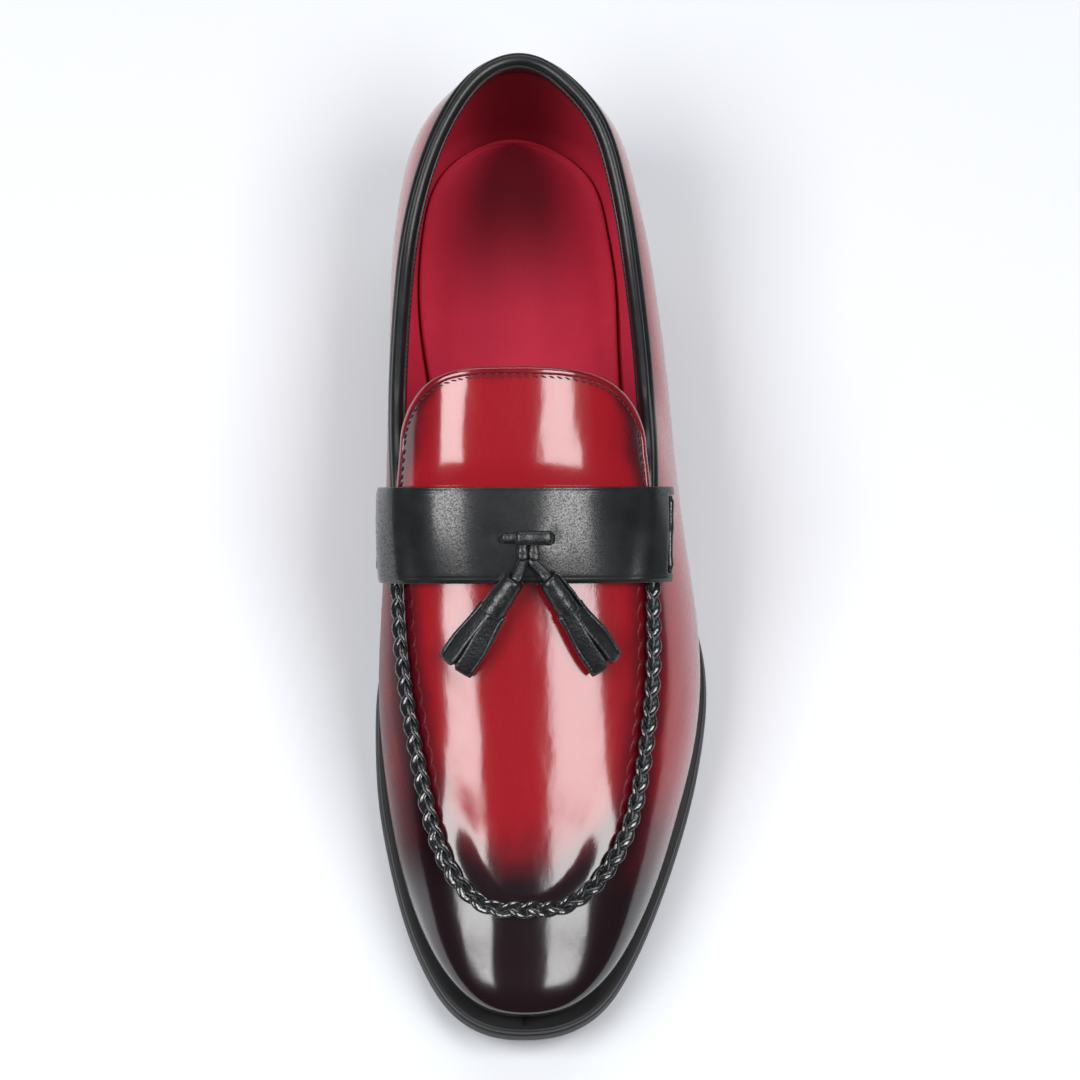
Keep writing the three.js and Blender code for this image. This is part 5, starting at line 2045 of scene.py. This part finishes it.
SOFTBOXES = (
    Softbox("left_light", -0.82, -0.31, 1.20, 0.84, 0.86, 6.8),
    Softbox("right_light", 0.59, -0.31, 1.20, 0.68, 0.86, 6.5),
    Softbox("back_light", 0.0, 1.15, 1.30, 1.80, 0.80, 2.3),
)


@dataclass
class Studio:
    """Camera, floor and soft lights."""

    shop: Workshop
    elevation: float = 68.0
    distance: float = 1400.0
    focus: tuple[float, float, float] = (-56.2, 4.9, 30.0)
    turn_right: float = 2.264
    lens: float = 150.08
    floor_half: float = 6.0
    air: Colour = (0.86, 0.90, 1.0)
    air_strength: float = 0.06

    def build(self) -> None:
        """Sets up the studio."""
        self.camera()
        self.floor()
        self.lights()

    def camera(self) -> None:
        """Puts the camera where the photograph was taken, turned to the one shoe."""
        raised = math.radians(self.elevation)
        back = Vector((0.0, -math.cos(raised), math.sin(raised)))
        right = Vector((1.0, 0.0, 0.0))
        up = back.cross(right)
        aside = Matrix.Rotation(-math.radians(self.turn_right), 3, "Y")
        turn = Matrix((right, up, back)).transposed() @ aside
        data = bpy.data.cameras.new("camera")
        data.lens = self.lens
        data.sensor_width = 36.0
        data.sensor_fit = "HORIZONTAL"
        data.clip_end = 20.0
        camera = bpy.data.objects.new("camera", data)
        place = (Vector(self.focus) + back * self.distance) * MM
        camera.matrix_world = Matrix.Translation(place) @ turn.to_4x4()
        bpy.context.scene.collection.objects.link(camera)
        bpy.context.scene.camera = camera

    def floor(self) -> None:
        """Lays the pale floor."""
        bm = bmesh.new()
        bmesh.ops.create_grid(bm, x_segments=1, y_segments=1, size=self.floor_half)
        mesh = bpy.data.meshes.new("floor")
        bm.to_mesh(mesh)
        bm.free()
        mesh.materials.append(self.shop.wardrobe.get(Finish.PAPER))
        floor = bpy.data.objects.new("floor", mesh)
        bpy.context.scene.collection.objects.link(floor)

    def lights(self) -> None:
        """Hangs the soft lights overhead and fills faintly from all round."""
        scene = bpy.context.scene
        world = bpy.data.worlds.new("studio")
        world.use_nodes = True
        air = world.node_tree.nodes["Background"]
        air.inputs["Color"].default_value = (*self.air, 1.0)
        air.inputs["Strength"].default_value = self.air_strength
        scene.world = world
        scene.view_settings.view_transform = "Standard"
        for box in SOFTBOXES:
            data = bpy.data.lights.new(box.name, "AREA")
            data.shape = "RECTANGLE"
            data.size, data.size_y = box.wide, box.long
            data.energy = box.radiance * math.pi * box.wide * box.long
            light = bpy.data.objects.new(box.name, data)
            light.matrix_world = Matrix.Translation(Vector((box.x, box.y, box.z)))
            scene.collection.objects.link(light)


def main() -> None:
    """Builds the shoe's looks piece by piece, then the studio."""
    logging.basicConfig(level=logging.INFO, format="%(name)s: %(message)s")
    shop = Workshop()
    last = Last()
    Bottom(last, shop).build()
    Upper(last, shop).build()
    Apron(last, shop).build()
    CollarBinding(last, shop).build()
    Braid(last, shop).build()
    strap = Strap(last, shop)
    strap.build()
    for place in TASSELS:
        Tassel(strap, shop, place).build()
    Studio(shop).build()


if __name__ == "__main__":
    main()
